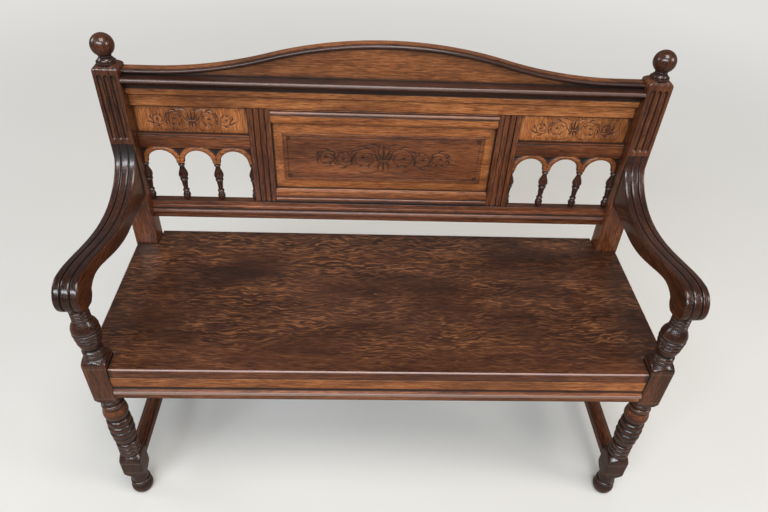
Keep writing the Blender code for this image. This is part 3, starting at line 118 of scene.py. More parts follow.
camera_data = bpy.data.cameras.new("camera")
camera_data.sensor_width = 36
camera_data.lens = CAMERA_LENS
camera = bpy.data.objects.new("camera", camera_data)
bpy.context.scene.collection.objects.link(camera)
right, up, forward = camera_axes(CAMERA_YAW, CAMERA_PITCH, CAMERA_ROLL)
camera.matrix_world = Matrix.Translation(CAMERA_AT) @ Matrix((right, up, -forward)).transposed().to_4x4()
bpy.context.scene.camera = camera
bpy.context.scene.view_settings.view_transform = "Standard"
print("camera", CAMERA_AT, "lens", CAMERA_LENS)

# %% [markdown]
# Materials, the sky and Geometry Nodes are all trees of nodes. Building one link by link takes
# many lines, so a few short helpers add a node, set its plain values and join its inputs. A
# finish then reads as a list of steps.

# %% Node helpers
def fill_inputs(tree, node, inputs):
    """Sets each named input to a value, or links it to another node's output socket."""
    for name, value in inputs.items():
        by_number = name[0] == "i" and name[1:].isdigit()
        socket = node.inputs[int(name[1:])] if by_number else node.inputs[name]
        if isinstance(value, bpy.types.NodeSocket):
            tree.links.new(value, socket)
        else:
            socket.default_value = value


def add_node(tree, kind, settings=None, **inputs):
    """Adds a node; i0, i1 and so on name an input by its number, and other words by its label."""
    node = tree.nodes.new(kind)
    for name, value in (settings or {}).items():
        setattr(node, name, value)
    fill_inputs(tree, node, inputs)
    return node


def math_node(tree, operation, *values):
    """Arithmetic on two or three values."""
    inputs = {f"i{number}": value for number, value in enumerate(values)}
    return add_node(tree, "ShaderNodeMath", {"operation": operation}, **inputs).outputs[0]


def product(tree, first, second):
    """Two values multiplied."""
    return math_node(tree, "MULTIPLY", first, second)


def ramp(tree, factor, stops):
    """A colour ramp through (place, colour) stops."""
    node = add_node(tree, "ShaderNodeValToRGB", None, Fac=factor)
    elements = node.color_ramp.elements
    while len(elements) < len(stops):
        elements.new(0.5)
    for element, (place, colour) in zip(elements, stops):
        element.position = place
        element.color = (*colour, 1)
    return node.outputs["Color"]


def fade(tree, factor, low, high):
    """Turns a value into 0 below low and 1 above high, with a soft step between."""
    reach = {"From Min": low, "From Max": high}
    node = add_node(tree, "ShaderNodeMapRange", {"interpolation_type": "SMOOTHSTEP"}, Value=factor, **reach)
    return node.outputs["Result"]


def mixed(tree, mode, factor, first, second):
    """One colour over another."""
    pair = [value if isinstance(value, bpy.types.NodeSocket) else (*value, 1) for value in (first, second)]
    node = add_node(tree, "ShaderNodeMix", {"data_type": "RGBA", "blend_type": mode},
                    i0=factor, i6=pair[0], i7=pair[1])
    return node.outputs[2]


print("node helpers ready")

# %% [markdown]
# A polished object shows its surroundings as much as its own colour. Five soft lamps light the
# bench at a plain level: a wide one in front stands for a row of windows, one hangs overhead,
# one stands at each side, and a weak one behind keeps the back from going black. The sky is pale
# where the camera looks at it and dimmer for all other rays, as the walls of a room would be.
# One bright sky for everything would be simpler, but it lays a grey haze over dark polish.

# %% Sky and lamps
LAMPS = (
    ("window_lamp", (-1.6, -4.6, 4.2), (0.0, 0.0, 0.55), (5.2, 1.1), 290, (0.86, 0.93, 1.0)),
    ("ceiling_lamp", (0.5, -1.6, 5.4), (0.0, 0.1, 0.5), (2.4, 2.4), 160, (1.0, 0.97, 0.93)),
    ("side_lamp", (4.2, -1.6, 2.8), (0.1, 0.0, 0.5), (1.5, 1.5), 64, (1.0, 0.96, 0.92)),
    ("left_lamp", (-4.4, 0.6, 2.6), (0.0, 0.0, 0.5), (1.5, 1.5), 38, (0.92, 0.96, 1.0)),
    ("rear_lamp", (0.8, 4.4, 3.4), (0.0, 0.0, 0.5), (1.6, 1.6), 34, (1.0, 0.98, 0.96)),
)
SKY_COLOUR = (0.85, 0.85, 0.84, 1)
SKY_LIGHT, SKY_SEEN = 0.18, 0.92


def add_lamp(name, place, target, size, power, colour):
    """A soft lamp of a width and a height that looks at a point."""
    data = bpy.data.lights.new(name, "AREA")
    data.shape = "RECTANGLE"
    data.size, data.size_y = size
    data.energy = power
    data.color = colour
    lamp = bpy.data.objects.new(name, data)
    lamp.location = place
    lamp.rotation_euler = (Vector(target) - Vector(place)).to_track_quat("-Z", "Y").to_euler()
    bpy.context.scene.collection.objects.link(lamp)
    return lamp


for lamp in LAMPS:
    add_lamp(*lamp).visible_glossy = lamp[0] != "rear_lamp"
world = bpy.data.worlds.new("studio")
bpy.context.scene.world = world
world.use_nodes = True
tree = world.node_tree
seen = add_node(tree, "ShaderNodeLightPath").outputs["Is Camera Ray"]
strength = math_node(tree, "MULTIPLY_ADD", seen, SKY_SEEN - SKY_LIGHT, SKY_LIGHT)
fill_inputs(tree, tree.nodes["Background"], {"Color": SKY_COLOUR, "Strength": strength})
print("lamps", len(LAMPS))

# %% [markdown]
# The wood is oak, stained and wax polished for a century. Three things make it read as oak:
# long fine pores that run with the grain, slow bands of colour between growth rings, and on the
# quarter-sawn seat the pale wavy flakes that cross the grain. A photograph of oak could be
# wrapped round each piece, but noise stretched along the grain fits every length and never
# repeats. The stretch follows the piece, so each direction of grain has a finish of its own.

# %% Grain and flakes
GRAIN_TURNS = {"x": (0, 0, 0), "y": (0, 0, math.pi / 2), "z": (0, math.pi / 2, 0)}
WOOD_STOPS = (0.36, 0.50, 0.64)
FLAKE = (0.260, 0.104, 0.042)
FLAKE_GAP = 0.08


def noise(tree, place, scale, detail=4.0, roughness=0.55, distortion=0.0):
    """A noise value stretched by scale along each axis."""
    spread = add_node(tree, "ShaderNodeMapping", None, Vector=place, Scale=scale)
    node = add_node(tree, "ShaderNodeTexNoise", None, Vector=spread.outputs["Vector"], Scale=1.0,
                    Detail=detail, Roughness=roughness, Distortion=distortion)
    return node.outputs["Fac"]


def mesh_value(tree, name):
    """A value that the mesh carries at each point."""
    return add_node(tree, "ShaderNodeAttribute", {"attribute_name": name}).outputs["Fac"]


def flake_value(tree, place, strength):
    """Wavy thin flakes that cross the grain of quarter-sawn oak."""
    warp = add_node(tree, "ShaderNodeTexNoise", None, Vector=place, Scale=15.0, Detail=2.0)
    bent = add_node(tree, "ShaderNodeVectorMath", {"operation": "MULTIPLY_ADD"}, i0=warp.outputs["Color"],
                    i1=(0.008, 0.034, 0.0), i2=place).outputs[0]
    field = noise(tree, bent, (11, 120, 20), 2.0, 0.5, 0.1)
    thin = fade(tree, math_node(tree, "PINGPONG", field, FLAKE_GAP), 0.036, 0.070)
    broken = fade(tree, noise(tree, bent, (17, 260, 40), 2.0, 0.6), 0.34, 0.52)
    patch = fade(tree, noise(tree, place, (5, 9, 9), 2.0, 0.5), 0.25, 0.62)
    return product(tree, product(tree, thin, broken), product(tree, patch, strength))


def wood_colour(tree, place, streaks, wood, second, figure):
    """Streaks and bands of one wood, blended with a second one and its flakes by the tone value."""
    bands = noise(tree, place, (4, 40, 40), 3.0, 0.55, 0.8)
    shade = math_node(tree, "MULTIPLY_ADD", streaks, 0.72, product(tree, bands, 0.28))
    colour = ramp(tree, shade, list(zip(WOOD_STOPS, wood)))
    if second:
        pick = mesh_value(tree, "tone")
        colour = mixed(tree, "MIX", pick, colour, ramp(tree, shade, list(zip(WOOD_STOPS, second))))
    if figure:
        flakes = product(tree, flake_value(tree, place, figure), math_node(tree, "SUBTRACT", 1.0, pick))
        colour = mixed(tree, "MIX", flakes, colour, FLAKE)
    return colour


print("grain directions", *GRAIN_TURNS)

# %% [markdown]
# Age shows where hands and dusters go, and the finish also paints light and shade. Wax and dirt
# sit dark in the grooves and corners, together with painted shade there, and the edges are paler
# from handling and from a painted highlight. Painting that by hand would take days, so the mesh
# carries three values that the finish reads: recess is a half on a flat, more in a hollow and
# less on an edge; the corner value says how closed-in a corner is, for painted shade; tone blends
# between two woods, and on the posts and arms it also paints a lit or shaded side.

# %% Oak finish
# The first colour below is the dark of old wax and of painted shade in hollows and corners.
WAX_AND_SHADE = (0.0085, 0.0055, 0.0050)
PORE = (0.30, 0.20, 0.17)
# The paler colour on edges below stands for wear and for a painted highlight.
WEAR_AND_HIGHLIGHT = (0.190, 0.115, 0.095)
CLOUDS = [(0.34, (0.50, 0.46, 0.44)), (0.55, (1.0, 1.0, 1.0)), (0.68, (1.22, 1.22, 1.2))]


def new_finish(name):
    """A material, its tree, its shader and the place on the piece that its patterns follow."""
    material = bpy.data.materials.new(name)
    material.use_nodes = True
    tree = material.node_tree
    place = add_node(tree, "ShaderNodeTexCoord").outputs["Object"]
    return material, tree, tree.nodes["Principled BSDF"], place


def wax_and_shade_value(tree, recess, cloud):
    """How much of the dark of old wax and painted shade covers a place: all of it in a hollow, patches of it
    in a closed-in corner.
    """
    hollow = fade(tree, recess, 0.54, 0.88)
    closed_in = math_node(tree, "MULTIPLY_ADD", cloud, 0.35, mesh_value(tree, "grime"))
    corner = fade(tree, closed_in, 0.40, 0.86)
    return math_node(tree, "MAXIMUM", product(tree, hollow, 0.92), product(tree, corner, 0.86))


def oak(name, along, wood, second=None, figure=0.0, shine=0.34, highlight_and_wear=WEAR_AND_HIGHLIGHT):
    """Polished oak; wood and second are deep, body and bright colours, and tone blends the two."""
    material, tree, shader, place = new_finish(name)
    place = add_node(tree, "ShaderNodeMapping", None, Vector=place, Rotation=GRAIN_TURNS[along]).outputs[0]
    streaks = noise(tree, place, (34, 520, 520), 4.0, 0.72, 0.3)
    pores = fade(tree, noise(tree, place, (38, 760, 760), 2.0, 0.5), 0.56, 0.64)
    cloud = noise(tree, place, (4, 11, 11), 3.0, 0.55)
    recess = mesh_value(tree, "recess")
    # Wax and painted shade: dark in hollows and in closed-in corners.
    wax_and_shade = wax_and_shade_value(tree, recess, cloud)
    # Edges, where recess is under a half, get the paler colour: wear and a painted highlight.
    edge = math_node(tree, "SUBTRACT", 1.0, fade(tree, recess, 0.08, 0.42))
    colour = wood_colour(tree, place, streaks, wood, second, figure)
    colour = mixed(tree, "MULTIPLY", product(tree, pores, 0.72), colour, PORE)
    colour = mixed(tree, "MULTIPLY", 0.8, colour, ramp(tree, cloud, CLOUDS))
    colour = mixed(tree, "MIX", product(tree, edge, 0.6), colour, highlight_and_wear)
    colour = mixed(tree, "MIX", wax_and_shade, colour, WAX_AND_SHADE)
    gloss = math_node(tree, "MULTIPLY_ADD", cloud, 0.20, shine - 0.10)
    rough = math_node(tree, "MULTIPLY_ADD", wax_and_shade, 0.25, gloss)
    relief = math_node(tree, "MULTIPLY_ADD", pores, -0.7, streaks)
    bump = add_node(tree, "ShaderNodeBump", None, Height=relief, Strength=0.25, Distance=0.0006)
    fill_inputs(tree, shader, {"Base Color": colour, "Roughness": rough, "Normal": bump.outputs["Normal"]})
    shader.inputs["Specular IOR Level"].default_value = 0.5
    shader.inputs["Coat Weight"].default_value = 0.25
    shader.inputs["Coat Roughness"].default_value = 0.12
    return material


DARK = ((0.012, 0.0048, 0.0036), (0.045, 0.0150, 0.0085), (0.105, 0.036, 0.017))
BROWN = ((0.040, 0.0115, 0.0050), (0.170, 0.0490, 0.0170), (0.330, 0.110, 0.038))
GOLD = ((0.105, 0.0300, 0.0095), (0.400, 0.1300, 0.0360), (0.640, 0.262, 0.088))
SEAT = ((0.020, 0.0080, 0.0048), (0.046, 0.0165, 0.0088), (0.082, 0.031, 0.015))
PLAIN = ((0.120, 0.062, 0.030), (0.210, 0.118, 0.060), (0.300, 0.180, 0.098))
dark_x = oak("dark_oak_along_x", "x", DARK, BROWN)
two_tone_x = oak("two_tone_oak_along_x", "x", DARK, GOLD)
dark_y = oak("dark_oak_along_y", "y", DARK, BROWN, shine=0.22)
dark_z = oak("dark_oak_along_z", "z", DARK, BROWN, shine=0.18)
brown_x = oak("brown_oak_along_x", "x", BROWN, GOLD)
gold_x = oak("golden_oak_along_x", "x", GOLD, BROWN, highlight_and_wear=(0.38, 0.27, 0.22))
gold_z = oak("golden_oak_along_z", "z", GOLD, BROWN)
seat_x = oak("seat_oak_along_x", "x", SEAT, BROWN, figure=0.9, shine=0.32, highlight_and_wear=(0.55, 0.37, 0.33))
plain_x = oak("plain_oak_along_x", "x", PLAIN, shine=0.55)
plain_y = oak("plain_oak_along_y", "y", PLAIN, shine=0.55)
print("oak finishes", len(bpy.data.materials))

# %% [markdown]
# The screws that hold the arms and the seat are steel, slightly dull, with the fine scratches
# that a driver leaves. The floor is pale where the camera sees it and dimmer where the bench
# mirrors it, and far away it melts into the sky, so that no edge of it shows.

# %% Steel and floor finishes
def steel_finish():
    """Dull screw steel."""
    material, tree, shader, place = new_finish("screw_steel")
    scratches = noise(tree, place, (900, 900, 120), 3.0)
    colour = ramp(tree, scratches, [(0.3, (0.28, 0.27, 0.26)), (0.7, (0.52, 0.51, 0.49))])
    fill_inputs(tree, shader, {"Base Color": colour, "Roughness": fade(tree, scratches, -0.6, 1.8)})
    shader.inputs["Metallic"].default_value = 1.0
    return material


FLOOR_HALF = 14.0
FLOOR_PALE = [(0.3, (0.69, 0.67, 0.63)), (0.7, (0.72, 0.70, 0.665))]
FLOOR_MIRRORED = (0.26, 0.215, 0.18)


def floor_finish():
    """Pale plain floor, dimmer for every ray that isn't the camera's."""
    material, tree, shader, place = new_finish("floor")
    pale = ramp(tree, noise(tree, place, (1.2, 1.2, 1.2), 4.0), FLOOR_PALE)
    seen = add_node(tree, "ShaderNodeLightPath").outputs["Is Camera Ray"]
    fill_inputs(tree, shader, {"Base Color": mixed(tree, "MIX", seen, FLOOR_MIRRORED, pale)})
    shader.inputs["Roughness"].default_value = 0.7
    reach = add_node(tree, "ShaderNodeVectorMath", {"operation": "LENGTH"}, i0=place).outputs["Value"]
    far = product(tree, seen, fade(tree, reach, 1.2, 4.2))
    glow = add_node(tree, "ShaderNodeEmission", None, Color=(0.80, 0.79, 0.77, 1), Strength=0.95)
    blend = add_node(tree, "ShaderNodeMixShader", None, i0=far, i1=shader.outputs[0], i2=glow.outputs[0])
    fill_inputs(tree, tree.nodes["Material Output"], {"Surface": blend.outputs[0]})
    return material


steel = steel_finish()
floor_mesh = bpy.data.meshes.new("floor")
corners = [(x * FLOOR_HALF, y * FLOOR_HALF, 0) for x, y in ((-1, -1), (1, -1), (1, 1), (-1, 1))]
floor_mesh.from_pydata(corners, [], [(0, 1, 2, 3)])
floor = bpy.data.objects.new("floor", floor_mesh)
bpy.context.scene.collection.objects.link(floor)
floor_mesh.materials.append(floor_finish())
floor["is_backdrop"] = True
print("floor", 2 * FLOOR_HALF, "m square")

# %% [markdown]
# A mesh knows where its grooves are: at a hollow the neighbours of a point lie in front of it,
# and at an edge they lie behind. Measuring that once in mesh code gives the oak its dark grooves,
# as wax and painted shade, and its pale edges, as wear and a painted highlight, without any picture.

# %% Values on the mesh
BEND_STRENGTH = 0.0016


def points_of(mesh, kind="co"):
    """The places, or with normal the directions, of all points as rows."""
    values = np.empty(len(mesh.vertices) * 3)
    mesh.vertices.foreach_get(kind, values)
    return values.reshape(-1, 3)


def by_place(mesh, rule):
    """A value at each point of a mesh, from a rule of its place."""
    return rule(*points_of(mesh).T)


def store(mesh, name, value):
    """Writes a value between 0 and 1 on each point of a mesh."""
    attribute = mesh.attributes.new(name, "FLOAT", "POINT")
    attribute.data.foreach_set("value", np.clip(value, 0, 1).astype(np.float32))


def neighbours(mesh):
    """Both end numbers of every edge, and how many neighbours each point has."""
    ends = np.empty(len(mesh.edges) * 2, dtype=np.int32)
    mesh.edges.foreach_get("vertices", ends)
    count = np.maximum(np.bincount(ends, minlength=len(mesh.vertices)), 1).astype(float)
    return ends.reshape(-1, 2), count


def neighbour_mean(values, ends, count):
    """Mean over each point's neighbours."""
    total = np.zeros_like(values)
    np.add.at(total, ends[:, 0], values[ends[:, 1]])
    np.add.at(total, ends[:, 1], values[ends[:, 0]])
    return total / count.reshape(-1, *([1] * (values.ndim - 1)))


def smoothed(values, ends, count, rounds):
    """Values evened out over the neighbours."""
    for _ in range(rounds):
        values = 0.5 * values + 0.5 * neighbour_mean(values, ends, count)
    return values


def mark_recess(mesh, wax):
    """Stores how hollow each point is; the given rule adds wax and painted shade above a half, and wear and a
    painted highlight below it.
    """
    points = points_of(mesh)
    ends, count = neighbours(mesh)
    offset = neighbour_mean(points, ends, count) - points
    length = np.linalg.norm(points[ends[:, 0]] - points[ends[:, 1]], axis=1) ** 2
    spread = np.zeros(len(points))
    np.add.at(spread, ends[:, 0], length)
    np.add.at(spread, ends[:, 1], length)
    bend = (offset * points_of(mesh, "normal")).sum(axis=1) / np.maximum(spread / count, 1e-10)
    value = np.clip(0.5 + smoothed(bend, ends, count, 2) * BEND_STRENGTH, 0.0, 1.0)
    if wax is not None:
        value = np.where(wax < 0.5, np.minimum(value, wax), np.maximum(value, wax))
    store(mesh, "recess", value)


print("values for the finish: recess, tone, grime")

# %% [markdown]
# Every piece ends the same way: it becomes an object at the origin, its sharp edges are told
# from its round ones, its values are stored, it hangs under the root body, and the CAD node that it replaces
# is hidden.
# Most shapes here are lofts, that is rings of points joined with quads, because turnings, posts
# and arms all change slowly along one direction.

# %% Mesh helpers
SHARP_ANGLE = math.radians(38)
MERGE_DISTANCE = 1e-6


def finish_piece(name, mesh, material, replaced, tone=None, wax=None):
    """Makes the object and ties it to the CAD frame; tone and the mark of wax, painted shade and painted
    highlight are rules of a place, or that mark is given as values.
    """
    piece = bpy.data.objects.new(name, mesh)
    bpy.context.scene.collection.objects.link(piece)
    mesh.materials.clear()
    mesh.materials.append(material)
    mesh.shade_smooth()
    mesh.set_sharp_from_angle(angle=SHARP_ANGLE)
    mark_recess(mesh, by_place(mesh, wax) if callable(wax) else wax)
    if tone:
        store(mesh, "tone", by_place(mesh, tone))
    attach(piece, "root")
    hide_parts(*replaced)
    print(name, len(mesh.polygons), "faces")
    return piece


def face_outwards(mesh, merge=False):
    """Turns all faces of a closed mesh outwards, after merging its doubles when merge is set."""
    shape = bmesh.new()
    shape.from_mesh(mesh)
    if merge:
        bmesh.ops.remove_doubles(shape, verts=shape.verts, dist=MERGE_DISTANCE)
    bmesh.ops.recalc_face_normals(shape, faces=shape.faces)
    shape.to_mesh(mesh)
    shape.free()
    return mesh


def baked_mesh(carrier, name):
    """The plain mesh that an object's modifiers make; the object itself goes."""
    graph = bpy.context.evaluated_depsgraph_get()
    mesh = bpy.data.meshes.new_from_object(carrier.evaluated_get(graph))
    mesh.name = name
    carrier.modifiers.clear()
    bpy.data.objects.remove(carrier)
    return mesh


def loft_mesh(name, rings):
    """Joins equal rings of points with quads, and caps both ends."""
    count = len(rings[0])
    points = [tuple(point) for ring in rings for point in ring]
    faces = []
    for here in range(0, (len(rings) - 1) * count, count):
        for j in range(count):
            near = (j + 1) % count
            faces.append((here + j, here + near, here + count + near, here + count + j))
    faces.append(tuple(range(count - 1, -1, -1)))
    faces.append(tuple(range((len(rings) - 1) * count, len(rings) * count)))
    mesh = bpy.data.meshes.new(name)
    mesh.from_pydata(points, [], faces)
    return face_outwards(mesh, merge=True)


def cut_across(mesh, axes, steps, spacing, margin=0.0):
    """Cuts a mesh across, closest near its ends, so that its flats can carry shading."""
    shape = bmesh.new()
    shape.from_mesh(mesh)
    for axis in axes:
        places = [vertex.co[axis] for vertex in shape.verts]
        low, high = min(places), max(places)
        half = (high - low) / 2
        across = Vector([float(i == axis) for i in range(3)])
        near = [s for s in steps if s < half - margin] + list(np.arange(0.16, half, spacing))
        for place in [low + s for s in near] + [high - s for s in near]:
            everything = shape.verts[:] + shape.edges[:] + shape.faces[:]
            bmesh.ops.bisect_plane(shape, geom=everything, plane_co=across * place, plane_no=across,
                                   dist=MERGE_DISTANCE)
    shape.to_mesh(mesh)
    shape.free()
    return mesh


print("mesh helpers ready")

# %% [markdown]
# A turned leg starts as a square stick on a lathe. The blocks that take the rails stay square,
# and between them the tool cuts beads, coves and bulbs. Where the cut runs into the square the
# corners end in rounded shoulders, and that shape comes for free from one rule: the outline at
# any height is the smaller of the turned circle and the square stick.

# %% Turned profiles
CORNER_POWER = 14


def turned_radius(kind, share, before, radius):
    """Radius at a share of the way through a step that goes from one radius to another."""
    change = radius - before
    if kind == "bead":
        return before + change * (1 - abs(2 * share - 1) ** 2.1) ** 0.5
    if kind == "ease":
        return before + change * (1 - math.cos(math.pi * share)) / 2
    if kind == "swell":
        return before + change * math.sin(math.pi * share / 2)
    if kind == "taper":
        return before + change * (1 - math.cos(math.pi * share / 2))
    if kind == "cone":
        return before + change * share
    return before + change * min(1.0, share / 0.3)


def turned(bottom, top, start, steps, detail=10):
    """Radius and height pairs; one step of no height takes what is left over."""
    spare = (top - bottom) - sum(height for _, height, _ in steps if height is not None)
    here = bottom
    before = start
    profile = [(start, bottom)]
    for kind, height, radius in steps:
        height = spare if height is None else height
        for i in range(1, detail + 1):
            share = i / detail
            profile.append((turned_radius(kind, share, before, radius), here + share * height))
        if kind != "bead":
            before = radius
        here += height
    return profile


def turned_mesh(name, centre, profile, sides=72, half=None):
    """Lathe work; half maps a height to half the width of the square stick, or to None."""
    rings = []
    for radius, z in profile:
        stick = half(z) if half else None
        ring = []
        for i in range(sides):
            turn = 2 * math.pi * i / sides
            c, s = math.cos(turn), math.sin(turn)
            reach = radius
            if stick is not None:
                square = stick / (abs(c) ** CORNER_POWER + abs(s) ** CORNER_POWER) ** (1 / CORNER_POWER)
                reach = min(radius, square)
            ring.append((centre[0] + reach * c, centre[1] + reach * s, z))
        rings.append(ring)
    return loft_mesh(name, rings)


print("bead sample", turned(0, 0.01, 0.02, [("bead", 0.01, 0.024)])[4])

# %% [markdown]
# Old turnings are darkest in the quirks between their rings, where wax collects and shade falls,
# and rubbed on the crests, which also catch highlights. Both are painted here: wax and painted
# shade in the quirks, wear and a painted highlight on the crests. The outline itself tells both: a
# place with something wider close above and close below is a quirk, and the widest place around is a crest.

# %% Wax, painted shade and highlights on turnings
FOOT_DARK_BELOW = 0.145


def grooves(profile, reach=0.007, deep=0.0022, darker=0.0):
    """A rule for lathe work: wax and painted shade between two higher crests, wear and a painted highlight on
    a crest, and darker low on the leg.
    """
    radii = np.array([r for r, _ in profile])
    heights = np.array([z for _, z in profile])
    value = []
    for r, z in profile:
        below = radii[(heights <= z) & (heights > z - reach)].max()
        above = radii[(heights >= z) & (heights < z + reach)].max()
        hollow = min(1.0, max(0.0, min(below, above) - r) / deep)
        around = radii[abs(heights - z) < reach]
        crest = r > around.max() - 0.0003 and r > around.min() + 0.0012
        # Painted shade with wax in a quirk, a painted highlight with wear on a crest.
        value.append(0.5 + 0.5 * hollow - 0.24 * crest)

    def wax(x, y, z):
        along = np.interp(z, heights, value)
        return along + darker * ((z < FOOT_DARK_BELOW) & (along > 0.45))
    return wax


print("wax lies dark below", FOOT_DARK_BELOW, "m on the legs")

# %% [markdown]
# The front leg has, from the floor: a bun foot, a low block for the side stretcher, three small
# and four large rings, a reddish bulb with two small beads, the high block for the seat rails,
# then two more beads, a cup of three widening bands and a neck with three collars under the arm.
# It could be one long list of radii, but it is easier to read and to change as five short
# turnings that share the two blocks' heights.

# %% Front legs
LOW_BLOCK = (0.072, 0.150)
HIGH_BLOCK = (0.350, 0.482)
BULB_HEIGHT = 0.320


def block_steps(neck, shoulder):
    """A square block between two rounded shoulders, as the lathe sees it."""
    corner = LEG_BLOCK * 0.72
    return [("swell", shoulder, corner), ("line", None, corner), ("taper", shoulder, neck)]


def leg_profile():
    """The whole front leg from the floor to the arm."""
    foot = turned(0.0, LOW_BLOCK[0], 0.0190, [
        ("swell", 0.016, 0.0247), ("taper", 0.016, 0.0195), ("bead", 0.010, 0.0224), ("line", None, 0.0200)])
    low_block = turned(*LOW_BLOCK, 0.0200, block_steps(0.0200, 0.022))
    stack = turned(LOW_BLOCK[1], HIGH_BLOCK[0], 0.0200, [
        ("line", 0.004, 0.0203), *[("bead", 0.0145, 0.0237)] * 3, ("ease", 0.009, 0.0216),
        *[("bead", 0.019, radius) for radius in (0.0250, 0.0266, 0.0268, 0.0257)], ("line", 0.004, 0.0216),
        ("swell", 0.016, 0.0262), ("taper", None, 0.0205), ("bead", 0.010, 0.0236), ("line", 0.002, 0.0188),
        ("bead", 0.009, 0.0208), ("line", 0.003, 0.0188)])
    high_block = turned(*HIGH_BLOCK, 0.0188, block_steps(0.0185, 0.020))
    upper = turned(HIGH_BLOCK[1], ARM_SEAT - GAP, 0.0185, [
        *[("bead", 0.010, 0.0208)] * 2, ("line", 0.004, 0.0172), ("swell", 0.016, 0.0222),
        *[("bead", 0.0105, radius) for radius in (0.0240, 0.0254, 0.0266)], ("swell", 0.004, 0.0262),
        ("taper", 0.024, 0.0155), *[("bead", 0.0085, 0.0180)] * 3, ("line", None, 0.0165)])
    return foot + low_block[1:] + stack[1:] + high_block[1:] + upper[1:]


def leg_stick(z):
    """Half the width of the stick at the two blocks, and no square between them."""
    return LEG_BLOCK / 2 if any(low < z < high for low, high in (LOW_BLOCK, HIGH_BLOCK)) else None


def leg_tone(x, y, z):
    """Redder on the bulb, and a little on the high block."""
    on_block = (z > HIGH_BLOCK[0] + 0.012) & (z < HIGH_BLOCK[1] - 0.012)
    return 0.9 * np.exp(-((z - BULB_HEIGHT) / 0.014) ** 2) + 0.40 * on_block


for side, word in ((-1, "left"), (1, "right")):
    mesh = turned_mesh(f"turned_leg_{word}", (side * leg_x, leg_y), leg_profile(), 80, leg_stick)
    finish_piece(f"turned_leg_{word}", mesh, dark_z, [f"front_leg_{word}"], leg_tone,
                 grooves(leg_profile(), darker=0.16))

# %% [markdown]
# A ball finial sits on each back post. It is a near sphere on a thin neck with one small ring,
# and it catches the brightest highlight on the bench. It could be a ready-made sphere on a
# cylinder, but as one lathe outline the neck runs into the ball without a seam.

# %% Ball finials
BALL_RADIUS = 0.0235


def finial_profile():
    """Base, neck ring and ball above the post's top."""
    middle = POST_TOP + 0.0158 + BALL_RADIUS * 0.86
    profile = turned(POST_TOP + GAP, POST_TOP + 0.016, 0.020, [
        ("line", 0.003, 0.020), ("line", 0.001, 0.017), ("taper", None, 0.0115), ("bead", 0.004, 0.0130)])
    for i in range(1, 41):
        turn = math.radians(-60 + 150 * i / 40)
        profile.append((max(BALL_RADIUS * math.cos(turn), 0.0002), middle + BALL_RADIUS * math.sin(turn)))
    return profile


def ball_tone(x, y, z):
    """The ball is a trace redder than its neck."""
    return 0.15 * (z > POST_TOP + 0.02)


for side, word in ((-1, "left"), (1, "right")):
    mesh = turned_mesh(f"ball_{word}", (side * post_x, post_y), finial_profile(), 64)
    finish_piece(f"ball_{word}", mesh, dark_z, [f"ball_finial_{word}"], ball_tone)

# %% [markdown]
# The back post is a plain square leg below. Above the arm its face carries three stopped flutes,
# which a gouge cuts with a round end top and bottom. Cutting them with Booleans leaves ragged
# meshes, so the ring of points at each height is a rounded square whose front side dips where a
# flute is. The flutes get painted shade, with wax, along their walls and a painted highlight in the
# middle, and the right post is painted lighter above the arm, as its lit side.

# %% Back posts
FLUTE_PITCH, FLUTE_HALF, FLUTE_DEEP = 0.0135, 0.0050, 0.0042
FLUTE_LOW, FLUTE_HIGH = 0.746, 0.892
FLUTE_WALL, FLUTE_EDGE = 0.0028, 0.0060
POST_EDGE = 0.0016
POST_CROWN = 0.010


def flute_depth(offset, z):
    """How deep the flutes are at a place across the post's face and a height."""
    nearest = FLUTE_PITCH * max(-1, min(1, round(offset / FLUTE_PITCH)))
    end = min(max(z, FLUTE_LOW + FLUTE_HALF), FLUTE_HIGH - FLUTE_HALF)
    away = math.hypot(offset - nearest, z - end) / FLUTE_HALF
    return FLUTE_DEEP * math.sqrt(max(0.0, 1 - away ** 2))


def in_flute(x, y, z, near, far):
    """1 in the flutes between two distances from a flute's middle line, and 0 elsewhere."""
    place = (np.abs(x) - post_x) / FLUTE_PITCH
    away = np.abs(place - np.round(place)) * FLUTE_PITCH
    hollow = (y > post_front + 0.0004) & (y < post_front + 0.006) & (z > FLUTE_LOW) & (np.abs(place) < 1.5)
    return hollow & (away >= near) & (away < far)


def post_ring(x, z, inset):
    """Outline of the post at a height."""
    half_x = (post_outer - post_inner) / 2 - inset
    half_y = (post_back - post_front) / 2 - inset
    front = np.linspace(-half_x + POST_EDGE, half_x - POST_EDGE, 61)
    ring = [(x + u, post_y - half_y + flute_depth(u, z), z) for u in front]
    for cx, cy, start in ((1, -1, -90), (1, 1, 0), (-1, 1, 90), (-1, -1, 180)):
        for i in range(5):
            turn = math.radians(start + 90 * i / 4)
            ring.append((x + cx * (half_x - POST_EDGE) + POST_EDGE * math.cos(turn),
                         post_y + cy * (half_y - POST_EDGE) + POST_EDGE * math.sin(turn), z))
    return ring[1:-1]


def post_heights():
    """Heights of the rings: closer where the seat, rail and arm shade the post, and at the flutes' ends."""
    rows = [0.0, 0.002, 0.15, 0.30, 0.40, 0.425, 0.435, 0.445, 0.46, 0.47, 0.49, 0.512]
    rows += [bottom_low, 0.54, 0.57, 0.59, ARM_ROOT_LOW, 0.62, 0.65, 0.69, 0.72, ARM_ROOT_TOP]
    rows += list(np.linspace(FLUTE_LOW - 0.001, FLUTE_LOW + 0.007, 14))
    rows += list(np.linspace(FLUTE_LOW + 0.012, FLUTE_HIGH - 0.012, 8))
    rows += list(np.linspace(FLUTE_HIGH - 0.007, FLUTE_HIGH + 0.001, 14))
    return rows


